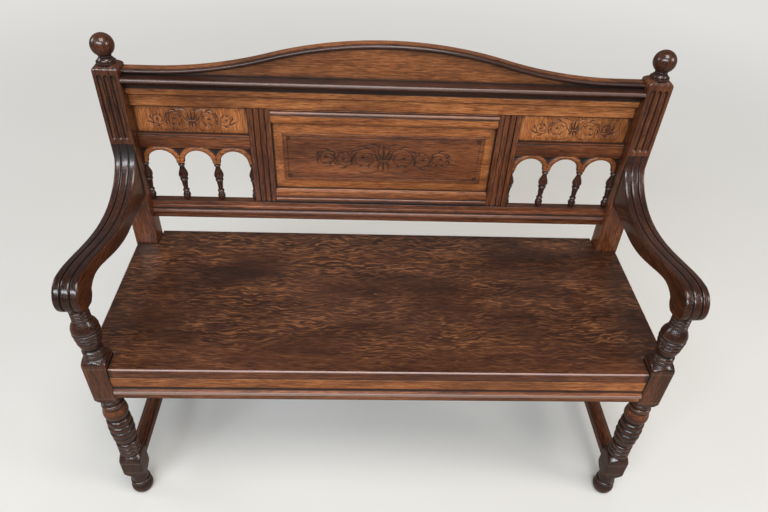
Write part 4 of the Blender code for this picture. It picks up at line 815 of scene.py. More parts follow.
def post_mesh(name, x):
    """The post as rings from the floor to its rounded top."""
    rings = [post_ring(x, z, 0.002 if z == 0 else 0.0) for z in post_heights()]
    for i in range(9):
        share = i / 8
        inset = 0.9 * POST_CROWN * (1 - math.cos(math.pi * share / 2))
        rings.append(post_ring(x, POST_TOP - POST_CROWN + POST_CROWN * share, inset))
    return loft_mesh(name, rings)


def post_tone_and_light(x, y, z):
    """Brown below the arm; above it the middles of the flutes carry a painted highlight and the right post is
    painted lighter, as its lit side.
    """
    above = 0.35 + 0.45 * in_flute(x, y, z, 0, FLUTE_WALL) + 0.25 * (x > 0)
    return np.where(z < ARM_ROOT_LOW + 0.007, 1.0, above)


# The tone paints light on the flute middles and the right post; the rule beside it paints shade, with wax, on
# the flute walls.
for side, word in ((-1, "left"), (1, "right")):
    finish_piece(f"post_{word}", post_mesh(f"post_{word}", side * post_x), dark_z,
                 [f"back_post_{word}"], post_tone_and_light,
                 lambda x, y, z: 0.5 + 0.42 * in_flute(x, y, z, FLUTE_WALL, FLUTE_EDGE))

# %% [markdown]
# The arm is sawn from a thick plank to a long S and rolls over the leg in a scroll. Seen from
# the side it is one closed line: a quarter circle down from the post, a long curve out to the
# front, two arcs round the nose, and the underside back. Writing it as arcs and Bezier curves
# keeps every bend smooth and every size adjustable.

# %% Arm outline
ARM_HALF = 0.023
ARM_SWEEP = 0.141
ARM_DIP = ARM_SEAT + 0.029
NOSE_RADIUS, NOSE_CROWN, NOSE_UNDER = 0.034, 0.039, 0.028
NOSE_SINK = 0.002
NOSE_FRONT = leg_front - 0.0095
NOSE_HIGH = ARM_SEAT - NOSE_SINK + NOSE_RADIUS


def bezier(start, first, second, end, count):
    """Points along a cubic curve, its start left out."""
    points = []
    for i in range(1, count + 1):
        t = i / count
        weights = ((1 - t) ** 3, 3 * t * (1 - t) ** 2, 3 * t * t * (1 - t), t ** 3)
        corners = (start, first, second, end)
        points.append(tuple(sum(w * c[k] for w, c in zip(weights, corners)) for k in range(2)))
    return points


def arc(centre, radius, start, end, count):
    """Points along an arc from one angle to another in degrees, its start left out."""
    turns = [math.radians(start + (end - start) * i / count) for i in range(1, count + 1)]
    return [(centre[0] + radius * math.cos(turn), centre[1] + radius * math.sin(turn)) for turn in turns]


def arm_top():
    """Top line from the post round the nose to the leg, in Y and Z."""
    dip = (post_front - ARM_SWEEP, ARM_DIP)
    path = []
    for i in range(31):
        turn = math.radians(90 * (1 - i / 30))
        path.append((dip[0] + (ARM_SWEEP - GAP) * math.sin(turn),
                     ARM_DIP + (ARM_ROOT_TOP - ARM_DIP) * (1 - math.cos(turn))))
    crown = (NOSE_FRONT + NOSE_CROWN, NOSE_HIGH + NOSE_CROWN)
    run = dip[0] - crown[0]
    path += bezier(dip, (dip[0] - 0.39 * run, dip[1]), (crown[0] + 0.24 * run, crown[1]), crown, 30)
    path += arc((crown[0], NOSE_HIGH), NOSE_CROWN, 90, 180, 26)
    flat = math.degrees(math.acos(1 - NOSE_SINK / NOSE_RADIUS))
    path += arc((NOSE_FRONT + NOSE_RADIUS, NOSE_HIGH), NOSE_RADIUS, 180, 270 - flat, 20)
    return path


def arm_under():
    """Underside from the leg back to the post."""
    flat = math.degrees(math.acos(1 - NOSE_SINK / NOSE_UNDER))
    centre = (NOSE_FRONT + NOSE_RADIUS, ARM_SEAT - NOSE_SINK + NOSE_UNDER)
    path = [(centre[0] + NOSE_UNDER * math.sin(math.radians(flat)), ARM_SEAT)]
    path += arc(centre, NOSE_UNDER, -90 + flat, -12, 14)
    cusp = path[-1]
    rise = 0.030
    crown = (cusp[0] + rise, ARM_SEAT + rise)
    path += bezier(cusp, (cusp[0] + 0.3 * rise, crown[1] - 0.1 * rise),
                   (crown[0] - 0.4 * rise, crown[1]), crown, 12)
    low = (post_front - 0.133, ARM_DIP - 0.043)
    run = low[0] - crown[0]
    path += bezier(crown, (crown[0] + 0.21 * run, crown[1]), (low[0] - 0.42 * run, low[1]), low, 26)
    path += [(post_front - GAP, ARM_ROOT_LOW)]
    return path


print("arm outline points", len(arm_top()) + len(arm_under()))

# %% [markdown]
# The arm's top is reeded: one broad reed between two narrow ones, which run on around the
# scroll. A moulding plane can't follow that bend, so a carver cuts it by hand. Here the side
# outline is repeated across the arm's width and pushed in where a groove runs.

# %% Reeded arms
REED_DEEP = 0.0046
GROOVE_AT, GROOVE_WIDE = 0.385, 0.045
FINE_SHARES = (0.34, 0.36, 0.38, 0.40, 0.42, 0.45, 0.95, 0.975, 0.99)


def reed(place, power=3.0):
    """Drop of a round reed from its top, 0 in the middle and 1 at its edges."""
    return 1 - max(0.0, 1 - abs(place) ** power) ** (1 / power)


def reed_drop(share):
    """Drop of the arm's top across its width, from the middle at 0 to a side at 1."""
    if share < 0.36:
        return 0.9 * reed(share / 0.36, 4)
    if share < 0.40:
        return 0.9
    if share < 0.51:
        return 0.15 + 0.75 * reed((share - 0.51) / 0.11, 4)
    return 0.15 + reed(max(0.0, share - 0.62) / 0.38, 3.2)


def outline_normals(line):
    """Directions across a closed line, towards its inside, for a line that runs clockwise."""
    result = []
    for i, point in enumerate(line):
        before = line[i - 1]
        after = line[(i + 1) % len(line)]
        length = max(math.dist(before, after), 1e-9)
        result.append(((before[1] - after[1]) / length, (after[0] - before[0]) / length))
    return result


def arm_mesh(name, side):
    """The arm as outlines side by side."""
    top, under = arm_top(), arm_under()
    line = top + under
    normals = outline_normals(line)
    normals[0] = (0.0, -1.0)
    fine = [way * share for way in (-1, 1) for share in FINE_SHARES]
    shares = sorted({*np.linspace(-1, 1, 29).round(4), *fine})
    rings = []
    for share in shares:
        depth = reed_drop(abs(share)) * REED_DEEP
        soft = 0.0018 * reed(max(0.0, (abs(share) - 0.92) / 0.08), 2)
        ring = []
        for i, ((y, z), n) in enumerate(zip(line, normals)):
            push = depth * min(1.0, i / 9) if i < len(top) else soft
            at_post = i in (0, len(line) - 1)
            y_new = y if at_post else y + push * n[0]
            ring.append((side * leg_x + share * ARM_HALF, min(y_new, post_front - GAP), z + push * n[1]))
        rings.append(ring)
    return loft_mesh(name, rings)


def arm_tone_and_shade(x, y, z):
    """The sides are redder than the reeded top; on the right arm less so, as painted shade on that side."""
    return np.where(x < 0, 0.85, 0.30) * (np.abs(np.abs(x) - leg_x) > ARM_HALF - 0.0008)


def arm_wax_and_shade(x, y, z):
    """Dark in the two grooves beside the broad reed, as wax and painted shade."""
    return 0.5 + 0.42 * (np.abs(np.abs(np.abs(x) - leg_x) / ARM_HALF - GROOVE_AT) < GROOVE_WIDE)


for side, word in ((-1, "left"), (1, "right")):
    finish_piece(f"reeded_arm_{word}", arm_mesh(f"reeded_arm_{word}", side), dark_y,
                 [f"arm_{word}"], arm_tone_and_shade, arm_wax_and_shade)

# %% [markdown]
# The seat is two wide boards glued edge to edge, notched round the legs and posts, with a
# rounded edge all round that the hand and the cloth of many sitters have softened. An outline
# is drawn in plan, given its thickness, and its top and bottom edges are bevelled round. A cube
# with cut corners would need four Booleans, where this needs one list of corners.

# %% Seat
SEAT_EDGE = 0.0028
SLAB_STEPS = (0.004, 0.010, 0.020, 0.035, 0.06, 0.10)


def cut_slab(mesh):
    """Cuts a board across in all three directions."""
    return cut_across(mesh, (0, 1, 2), SLAB_STEPS, 0.08, 0.002)


def rounded_slab(name, outline, low, high, edge):
    """A flat board from its plan, with rounded edges."""
    shape = bmesh.new()
    face = shape.faces.new([shape.verts.new((x, y, low)) for x, y in outline])
    raised = bmesh.ops.extrude_face_region(shape, geom=[face])["geom"]
    moved = [item for item in raised if isinstance(item, bmesh.types.BMVert)]
    bmesh.ops.translate(shape, verts=moved, vec=(0, 0, high - low))
    bmesh.ops.recalc_face_normals(shape, faces=shape.faces)
    rim = [e for e in shape.edges if abs(e.verts[0].co.z - e.verts[1].co.z) < 1e-6]
    bmesh.ops.bevel(shape, geom=rim, offset=edge, segments=4, profile=0.5, affect="EDGES")
    mesh = bpy.data.meshes.new(name)
    shape.to_mesh(mesh)
    shape.free()
    return cut_slab(mesh)


def seat_outline():
    """Plan of the seat, notched at the front legs and the back posts."""
    (_, front, _), (side, _, _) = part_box("seat_board_front")
    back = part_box("seat_board_rear")[1][1]
    notch = leg_inner - 2 * GAP
    leg_back = leg_front + LEG_BLOCK + 2 * GAP
    half = [(notch, front), (notch, leg_back), (side, leg_back), (side, post_front - GAP),
            (rail_end, post_front - GAP), (rail_end, back)]
    return half + [(-x, y) for x, y in reversed(half)]


def seat_tone(x, y, z):
    """Redder on the edges, and a little redder and lighter towards the front."""
    return np.where(z < seat_high - 0.003, 0.8, 0.34 * np.clip((-y - 0.12) / 0.10, 0, 1))


def seat_wear_and_highlight(x, y, z):
    """Pale along the rounded top edge, as wear and a painted highlight."""
    return 0.5 - 0.42 * ((z > seat_high - 0.0030) & (z < seat_high - 0.0001))


seat_mesh = rounded_slab("seat", seat_outline(), seat_low, seat_high, SEAT_EDGE)
finish_piece("seat", seat_mesh, seat_x, ["seat_board_front", "seat_board_rear"], seat_tone,
             seat_wear_and_highlight)

# %% [markdown]
# Straight mouldings are run off by the metre: one section, pushed along a length. Geometry
# Nodes does exactly that here. The tree takes the section as a face, pushes it along by the
# input called Length, closes the near end with a turned copy, and puts the finish on. The same
# helpers also start and end the tree that repeats the arches and spindles further down.

# %% Moulding tree
def socket_name(tree, label):
    """Identifier of a tree's input, by its label."""
    for item in tree.interface.items_tree:
        if item.item_type == "SOCKET" and item.in_out == "INPUT" and item.name == label:
            return item.identifier
    raise KeyError(label)


def new_tree(name, inputs):
    """A Geometry Nodes tree with named inputs and one for the finish, and its start node."""
    tree = bpy.data.node_groups.new(name, "GeometryNodeTree")
    tree.interface.new_socket("Geometry", in_out="OUTPUT", socket_type="NodeSocketGeometry")
    sockets = {"Geometry": "Geometry", **inputs, "Finish": "Material"}
    for label, kind in sockets.items():
        tree.interface.new_socket(label, in_out="INPUT", socket_type=f"NodeSocket{kind}")
    return tree, tree.nodes.new("NodeGroupInput")


def end_tree(tree, start, geometry, merge):
    """Makes instances real, merges doubles and puts the finish on."""
    real = add_node(tree, "GeometryNodeRealizeInstances", None, Geometry=geometry)
    joined = add_node(tree, "GeometryNodeMergeByDistance", None, Geometry=real.outputs[0], Distance=merge)
    finish = add_node(tree, "GeometryNodeSetMaterial", None, Geometry=joined.outputs[0],
                      Material=start.outputs["Finish"])
    add_node(tree, "NodeGroupOutput", None, i0=finish.outputs[0])
    return tree


def moulding_tree():
    """Section face in, closed length of moulding out."""
    tree, start = new_tree("run_of_moulding", {"Length": "Float", "Along": "Vector"})
    section = start.outputs["Geometry"]
    push = add_node(tree, "ShaderNodeVectorMath", {"operation": "SCALE"}, i0=start.outputs["Along"],
                    Scale=start.outputs["Length"])
    extrude = add_node(tree, "GeometryNodeExtrudeMesh", {"mode": "FACES"}, Mesh=section,
                       Offset=push.outputs[0], Individual=False, **{"Offset Scale": 1.0})
    flip = add_node(tree, "GeometryNodeFlipFaces", None, Mesh=section)
    join = add_node(tree, "GeometryNodeJoinGeometry", None, i0=extrude.outputs["Mesh"])
    tree.links.new(flip.outputs["Mesh"], join.inputs[0])
    return end_tree(tree, start, join.outputs[0], 0.000001)


def grown_mesh(name, seed_mesh, tree, values):
    """Runs a tree on a mesh and returns the plain mesh that comes out."""
    carrier = bpy.data.objects.new(name, seed_mesh)
    bpy.context.scene.collection.objects.link(carrier)
    modifier = carrier.modifiers.new("grow", "NODES")
    modifier.node_group = tree
    for label, value in values.items():
        modifier[socket_name(tree, label)] = value
    return face_outwards(baked_mesh(carrier, name))


MOULDING = moulding_tree()
print("moulding tree nodes", len(MOULDING.nodes))

# %% [markdown]
# A moulding's section is a closed line of points. Real edges are never sharp, so each corner of
# the line is rounded a little, and long flats get a few more points, because the values for the
# finish can only change from point to point. A Bevel modifier would do the rounding too, but
# on the section it is done once, before the run is pushed out.

# %% Moulding runs
EASED_EDGE = 0.0010
SHARP_BEND = 28
LONG_FLAT = 0.005
BAR_STEPS = (0.003, 0.007, 0.013, 0.022, 0.035, 0.055, 0.085, 0.12)


def eased(section, edge=EASED_EDGE, count=3):
    """Rounds every sharp corner of a closed section a little."""
    result = []
    for i, here in enumerate(section):
        before, after = section[i - 1], section[(i + 1) % len(section)]
        a, b = math.dist(before, here), math.dist(here, after)
        into = math.atan2(here[1] - before[1], here[0] - before[0])
        out = math.atan2(after[1] - here[1], after[0] - here[0])
        bend = abs((out - into + math.pi) % (2 * math.pi) - math.pi)
        if math.degrees(bend) < SHARP_BEND:
            result.append(here)
            continue
        cut = min(edge, a * 0.45, b * 0.45)
        first = tuple(h + (p - h) * cut / a for h, p in zip(here, before))
        last = tuple(h + (p - h) * cut / b for h, p in zip(here, after))
        for k in range(count + 1):
            t = k / count
            result.append(tuple((1 - t) ** 2 * p + 2 * t * (1 - t) * q + t * t * r
                                for p, q, r in zip(first, here, last)))
    return result


def filled(section, near=(0.0012, 0.003, 0.0065)):
    """Adds points on long flats, closest at their ends, so that shading can change there."""
    result = []
    for i, here in enumerate(section):
        after = section[(i + 1) % len(section)]
        length = math.dist(here, after)
        result.append(here)
        if length < LONG_FLAT:
            continue
        steps = [n for n in near if n < length / 2 - 0.0005]
        steps += [length - n for n in reversed(steps)] + list(np.arange(0.010, length - 0.010, 0.007))
        for step in sorted({round(float(n), 6) for n in steps}):
            share = step / length
            result.append(tuple(h + (a - h) * share for h, a in zip(here, after)))
    return result


def run_along(name, section, ends, material, replaced, tone=None, wax=None, axis=0):
    """A run of moulding; its section is in Y and Z for axis 0, and in X and Y for axis 2."""
    start, end = ends
    points = [(start, a, b) if axis == 0 else (a, b, start) for a, b in filled(section)]
    mesh = bpy.data.meshes.new(name)
    mesh.from_pydata(points, [], [tuple(range(len(points)))])
    along = tuple(float(i == axis) for i in range(3))
    mesh = grown_mesh(name, mesh, MOULDING, {"Length": end - start, "Along": along, "Finish": material})
    cut_across(mesh, (axis,), BAR_STEPS, 0.05)
    return finish_piece(name, mesh, material, replaced, tone, wax)


def line_at(value, middle, width):
    """1 at the middle, and softly down to 0 beyond the width."""
    return np.exp(-((value - middle) / width) ** 2)


def half_round(y_face, y_nose, low, high, count=8):
    """A round bead from low to high that stands from one face out to its nose."""
    middle, half = (low + high) / 2, (high - low) / 2
    turns = [math.pi * i / count for i in range(count + 1)]
    return [(y_face + (y_nose - y_face) * math.sin(turn), middle - half * math.cos(turn)) for turn in turns]


print("edges eased by", EASED_EDGE, "m")

# %% [markdown]
# The front seat rail shows a plain band, a deep groove, a bright round nose and a lower fillet.
# The back's rails each have their own small moulding: a cornice with a hollow under its nose, and
# a bottom rail with a bead that stands in front of it. Each section is written as a maker would
# describe it, from the back round the bottom to the face.

# %% Rails and mouldings
RAIL_NOSE = (0.3875, 0.3935)
RAIL_HOLLOW_TOP = 0.407
RAIL_GROOVE, RAIL_FILLET_TOP = 0.4040, 0.3745
BOTTOM_GROOVE, BOTTOM_NOSE = 0.5515, 0.543


def front_rail_section():
    """Seat rail in Y and Z, from its back round the bottom to the face."""
    back, face = leg_front + 0.0245, leg_front + 0.0025
    low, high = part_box("front_seat_rail")[0][2], seat_low - GAP
    hollow = []
    for i in range(8):
        turn = math.pi / 2 * i / 7
        hollow.append((face - 0.006 * math.sin(turn) ** 2 + 0.0022 * math.sin(2 * turn),
                       RAIL_HOLLOW_TOP - (RAIL_HOLLOW_TOP - RAIL_NOSE[1]) * i / 7))
    nose = half_round(face - 0.002, face - 0.006, *RAIL_NOSE)
    return ([(back, low), (face - 0.0012, low), (face - 0.002, low + 0.002), (face - 0.002, RAIL_NOSE[0])]
            + nose[1:] + hollow[::-1] + [(face, high), (back, high)])


def cornice_section():
    """Cornice in Y and Z: fillet, hollow and round nose."""
    back, nose = frame_face - GAP, frame_face - 0.0285
    fillet, cove_top, cove_low = back - 0.009, cornice_high - 0.011, cornice_low + 0.013
    cove = []
    for i in range(15):
        turn = math.pi / 2 * i / 14
        cove.append((nose + 0.005 + (fillet - nose - 0.005) * math.sin(turn),
                     cove_top + (cove_low - cove_top) * (1 - math.cos(turn))))
    bead = half_round(nose + 0.0045, nose, cove_top, cornice_high, 12)
    return [(back, cornice_low), (fillet, cornice_low), *cove[::-1], *bead, (back, cornice_high)]


def bottom_rail_section():
    """Bottom rail of the back in Y and Z: ledge, hollow, bead and fillet."""
    low, high = bottom_low, bottom_high
    height = high - low
    front = frame_back - 0.020
    nose = front - 0.0065
    bead = half_round(nose + 0.0035, nose, high - height * 0.74, high - height * 0.48, 10)
    cove = []
    for i in range(1, 8):
        turn = math.pi / 2 * i / 8
        cove.append((nose + 0.004 + (front - nose - 0.004) * (1 - math.cos(turn)),
                     high - height * 0.46 + height * 0.22 * math.sin(turn)))
    return ([(frame_back, low), (nose + 0.0045, low), (nose + 0.0045, high - height * 0.78)]
            + bead + cove + [(front, high - height * 0.22), (front, high), (frame_back, high)])


# On the front rail, the rule paints the groove and the lower fillet dark, as wax and painted shade, and the
# nose pale, as a painted highlight with wear.
run_along("front_rail", eased(front_rail_section()), (GAP - leg_inner, leg_inner - GAP), gold_x,
          ["front_seat_rail"],
          tone=lambda x, y, z: np.where(z < RAIL_HOLLOW_TOP + 0.0015, 0.9, 0.2),
          wax=lambda x, y, z: 0.5 + 0.46 * line_at(z, RAIL_GROOVE, 0.0034) + 0.3 * (z < RAIL_FILLET_TOP)
          - 0.42 * ((y < leg_front - 0.0015) & (z > RAIL_NOSE[0] + 0.002)))
# On the cornice it paints a shadow line under the hollow, with wax, and a painted highlight along the top of
# the nose.
run_along("cornice", eased(cornice_section()), (-rail_end, rail_end), two_tone_x,
          ["cornice_moulding"], tone=lambda x, y, z: 1.0 * (z < cornice_low + 0.014),
          wax=lambda x, y, z: 0.5 + 0.42 * line_at(z, cornice_low + 0.015, 0.0028)
          - 0.35 * ((y < frame_face - 0.0262) & (z > cornice_high - 0.006)))
# On the bottom rail it paints shade, with wax, in the groove above the bead, and a painted highlight on the
# bead's nose.
run_along("bottom_rail", eased(bottom_rail_section()), (-rail_end, rail_end), dark_x,
          ["back_bottom_rail"], tone=lambda x, y, z: np.where(z > bottom_high - 0.0005, 0.2, 0.95),
          wax=lambda x, y, z: 0.5 + 0.4 * line_at(z, BOTTOM_GROOVE, 0.0028) * (y < frame_back - 0.015)
          - 0.40 * ((y < frame_back - 0.0255) & (z > BOTTOM_NOSE)))

# %% [markdown]
# The top rail shows as an orange band under the cornice. The short middle rails carry the small
# panels, and the uprights beside the centre panel have two broad reeds each. All are runs of
# the same tree, the uprights along the height instead of the width.

# %% Top rail, middle rails and uprights
RAIL_SHADOW = 0.8422
UPRIGHT_EDGE = 0.011


def top_rail_section():
    """A plain board in Y and Z, with a few more points where the cornice's shadow line lies."""
    high = top_high - GAP
    front = [(frame_face, z) for z in (top_low, 0.8375, 0.8395, 0.8415, 0.8435, high)]
    return [(frame_back, top_low), *front, (frame_back, high)]


def middle_rail_section():
    """A rail with a small step along both edges of its face, in Y and Z."""
    face, low, high = frame_face, middle_low, middle_high
    return [(frame_back, low), (face + 0.0012, low), (face + 0.0012, low + 0.0035), (face, low + 0.0035),
            (face, high - 0.0045), (face + 0.0014, high - 0.0040), (face + 0.0014, high - 0.0030),
            (face, high - 0.0025), (face, high), (frame_back, high)]


def reeded_section(low, high, count, deep):
    """An upright in X and Y with reeds along its face."""
    pitch = (high - low - 2 * UPRIGHT_EDGE) / count
    front = [(low, frame_face), (low + UPRIGHT_EDGE, frame_face)]
    for i in range(count):
        for k in range(13):
            drop = deep * reed(2 * k / 12 - 1, 2.4)
            front.append((low + UPRIGHT_EDGE + pitch * (i + k / 12), frame_face + drop))
    front += [(high - UPRIGHT_EDGE, frame_face), (high, frame_face)]
    return [(low, frame_back)] + front + [(high, frame_back)]


def upright_wax_and_shade(x, y, z):
    """Dark on the walls between the reeds, as wax and painted shade."""
    return 0.5 + 0.40 * (np.abs(y - frame_face - 0.0024) < 0.0010)


# The top rail gets a painted shadow line under the cornice and painted shade along its bottom edge.
run_along("top_rail", eased(top_rail_section()), (-rail_end, rail_end), gold_x,
          ["back_top_rail"],
          wax=lambda x, y, z: 0.5 + 0.42 * line_at(z, RAIL_SHADOW, 0.0026) * (y < frame_face + 0.001)
          + 0.3 * (z < top_low + 0.0015))
for side, word in ((-1, "left"), (1, "right")):
    ends = sorted((side * (upright_far + GAP), side * rail_end))
    run_along(f"middle_rail_{word}", eased(middle_rail_section(), 0.0005), ends, brown_x,
              [f"mid_rail_{word}"])
    section = reeded_section(upright_near + GAP, upright_far - GAP, 2, 0.003)
    if side < 0:
        section = [(-x, y) for x, y in reversed(section)]
    run_along(f"upright_{word}", section, (bottom_high + GAP, top_low - GAP), dark_z,
              [f"muntin_{word}"], lambda x, y, z: 0.75 + 0 * x, upright_wax_and_shade, axis=2)

# %% [markdown]
# The crest board rises in a long serpentine: a hollow curve from each post, then a crown. A bead
# follows the top edge. A moulding tree can't bend, so each slice across the board is the same
# small section, lifted to the height of the curve at that place. The curve is two equal arcs
# that meet at the same slope.

# %% Crest board
CREST_CURVE = post_inner - 0.050
CREST_END, CREST_RISE = 0.018, 0.067
CREST_BEAD_LOW = 0.0132
CREST_ROWS = (0.06, 0.14, 0.26, 0.42, 0.6, 0.78, 0.9, 1.0)


def crest_height(x):
    """Top of the crest: two equal arcs, the outer one hollow."""
    half = CREST_CURVE / 2
    radius = (half ** 2 + (CREST_RISE / 2) ** 2) / CREST_RISE
    distance = min(abs(x), CREST_CURVE)
    if distance < half:
        return top_high + CREST_END + CREST_RISE - radius + math.sqrt(radius ** 2 - distance ** 2)
    return top_high + CREST_END + radius - math.sqrt(radius ** 2 - (CREST_CURVE - distance) ** 2)


def crest_mesh():
    """The board as slices from post to post."""
    front, base = frame_face, top_high + 0.0055
    bead = [(y, -z) for y, z in half_round(front, front - 0.008, 0.0012, 0.0115, 14)]
    rings = []
    for x in np.linspace(-rail_end, rail_end, 241):
        top = crest_height(x)
        under = top - CREST_BEAD_LOW
        ring = [(x, frame_back, top - 0.001), (x, frame_back - 0.001, top), (x, front, top)]
        ring += [(x, y, top + z) for y, z in bead]
        ring += [(x, front + 0.0006, under + 0.001), (x, front, under)]
        ring += [(x, front, base + (under - base) * (1 - share)) for share in CREST_ROWS]
        ring += [(x, frame_back, base + (top - 0.001 - base) * share) for share in (0, *CREST_ROWS[:-1])]
        rings.append(ring)
    return loft_mesh("crest", rings)


def crest_tone(x, y, z):
    """The board behind the bead is lighter, most of all in its middle."""
    return (y > frame_face - 0.0003) * (0.42 + 0.20 * line_at(x, 0, 0.3))


finish_piece("crest", crest_mesh(), two_tone_x, ["crest_board"], crest_tone)

# %% [markdown]
# Low relief is carved into a flat panel, so it is a surface with a depth at every place. The
# strokes of the chisel are drawn as curves with a width: spirals for the scrolls, and short
# tapering strokes for the leaves. Near a stroke the surface dips, and the same value tells the
# finish where to paint wax and painted shade dark. Sculpting would be freer, but strokes can be moved and
# scaled.

# %% Carving strokes
def polar(centre, radius, turn):
    """The place at a radius and an angle in degrees from a centre."""
    turn = math.radians(turn)
    return np.array((centre[0] + radius * math.cos(turn), centre[1] + radius * math.sin(turn)))


def spiral(centre, outer, inner, turns, start, spin, width):
    """Points and widths along a spiral that closes in on its centre."""
    share = np.linspace(0, 1, 120)
    radius = outer + (inner - outer) * share ** 1.5
    angle = math.radians(start) + spin * 2 * math.pi * turns * share
    points = np.stack([centre[0] + radius * np.cos(angle), centre[1] + radius * np.sin(angle)], axis=1)
    return points, width * (1.0 - 0.45 * share)


def leaf(start, end, bow, width):
    """A stroke from start to end that swells in its middle and bends sideways by bow."""
    share = np.linspace(0, 1, 50)
    start, end = np.array(start), np.array(end)
    across = np.array([start[1] - end[1], end[0] - start[0]])
    points = start + np.outer(share, end - start) + np.outer(np.sin(math.pi * share) * bow, across)
    return points, width * (0.15 + np.sin(math.pi * share ** 0.7))


def stroke_depth(x, z, strokes, soft=0.0007):
    """How far inside the nearest stroke each place is, from 0 to 1."""
    distance = np.full(x.shape, 1.0)
    for points, width in strokes:
        low, high = points.min(axis=0) - 0.006, points.max(axis=0) + 0.006
        near = (x > low[0]) & (x < high[0]) & (z > low[1]) & (z < high[1])
        if not near.any():
            continue
        away = np.hypot(x[near][:, None] - points[:, 0], z[near][:, None] - points[:, 1]) - width
        distance[near] = np.minimum(distance[near], away.min(axis=1))
    return np.clip(0.5 - distance / (2 * soft), 0, 1)


print("points on a leaf", len(leaf((0, 0), (0, 0.01), 0, 0.001)[0]))

# %% [markdown]
# The pattern is common joiner's scrollwork: a small palmette in the middle and a chain of
# scrolls to both sides, each with a bud at its heart and husks along its back. One half is
# drawn and then mirrored. The side panels use the same pattern with smaller rings.

# %% Scrollwork
PALMETTE_LEAVES = ((74, 0.92, -0.16, 0.0015), (54, 0.66, -0.26, 0.0014), (-70, 0.70, 0.20, 0.0013),
                   (-48, 0.46, 0.28, 0.0012))


def palmette(rise, scale):
    """Right half of the leaf fan in the middle."""
    heart = (0, -0.12 * rise)
    strokes = [leaf(heart, (0, rise), 0.0, 0.0020 * scale),
               leaf(heart, (0, -0.90 * rise), 0.0, 0.0017 * scale)]
    for turn, reach, bow, width in PALMETTE_LEAVES:
        tip = reach * rise
        strokes.append(leaf(polar(heart, 0.08 * rise, turn), polar(heart, tip, turn), bow, width * scale))
        strokes.append(spiral(polar(heart, tip * 1.02, turn), 0.09 * rise, 0.02 * rise, 0.8, turn + 90, -1,
                              0.0007 * scale))
    return strokes


def scroll(place, radius, way, scale):
    """One curling stem with a bud at its heart and husks along its back."""
    centre = (place, 0.0)
    strokes = [spiral(centre, radius, radius * 0.26, 1.45, 180 - 40 * way, -way, 0.0011 * scale)]
    bud = polar(centre, radius * 0.20, 20 * way)
    strokes.append(leaf(bud - (0.12 * radius, 0), bud + (0.16 * radius, 0), 0.1, 0.0021 * scale))
    for turn, length in ((100, 0.50), (52, 0.62), (4, 0.50)):
        root = polar(centre, radius, turn * way)
        tip = polar(centre, radius * (1 + 0.55 * length), (turn - 42) * way)
        strokes.append(leaf(root, tip, 0.22 * way, 0.0015 * scale))
    for turn in (150, -60, -110):
        root, tip = polar(centre, radius, turn * way), polar(centre, radius * 0.62, (turn - 38) * way)
        strokes.append(leaf(root, tip, -0.25 * way, 0.0011 * scale))
    return strokes


def scrollwork(rings, tail, rise, scale):
    """Palmette and linked scrolls on both sides; rings are (distance, radius, up or down)."""
    strokes = palmette(rise, scale)
    before = np.array((0.12 * rise, -0.25 * rise))
    for place, radius, way in rings:
        strokes += scroll(place, radius, way, scale)
        start = polar((place, 0.0), radius, 180 - 40 * way)
        strokes.append(leaf(before, start, -0.12 * way, 0.0012 * scale))
        before = polar((place, 0.0), radius, 40 * way)
    near, radius, _ = rings[0]
    strokes.append(leaf((0.22 * rise, 0.70 * rise), (near, radius * 1.22), 0.18, 0.0010 * scale))
    strokes.append(leaf((0.20 * rise, -0.66 * rise), (near + radius, -radius * 0.9), -0.22, 0.0010 * scale))
    strokes.append(leaf(before, (tail, 0), -0.15, 0.0011 * scale))
    strokes.append(leaf(before + (0.0, -0.2 * rise), (tail * 0.96, 0.12 * rise), 0.3, 0.0009 * scale))
    return strokes + [(points * np.array([-1, 1]), width) for points, width in strokes]


CENTRE_STROKES = scrollwork([(0.041, 0.027, 1), (0.087, 0.021, -1), (0.127, 0.020, 1)], 0.164, 0.043, 1.15)
SIDE_STROKES = scrollwork([(0.034, 0.0185, 1), (0.072, 0.0140, -1)], 0.099, 0.026, 0.90)
print("strokes", len(CENTRE_STROKES), len(SIDE_STROKES))

# %% [markdown]
# A panel is a fine grid whose front follows the carving's depth, with a plain back and a rim
# that joins the two. A Displace modifier could push the grid too, but it would need a picture of
# the carving. The back has only a few rows, since nothing happens there.

# %% Relief grid
BACK_ROWS = (0, 2, 7)


def grid_rim(outer, behind, columns, rows):
    """Faces round the four sides, from the front's edge to the back's."""
    along = [(i, 0) for i in range(columns)] + [(columns - 1, j) for j in range(1, rows)]
    along += [(i, rows - 1) for i in range(columns - 2, -1, -1)] + [(0, j) for j in range(rows - 2, 0, -1)]
    pairs = zip(along, along[1:] + along[:1])
    return [(outer(*here), behind[here], behind[after], outer(*after)) for here, after in pairs]


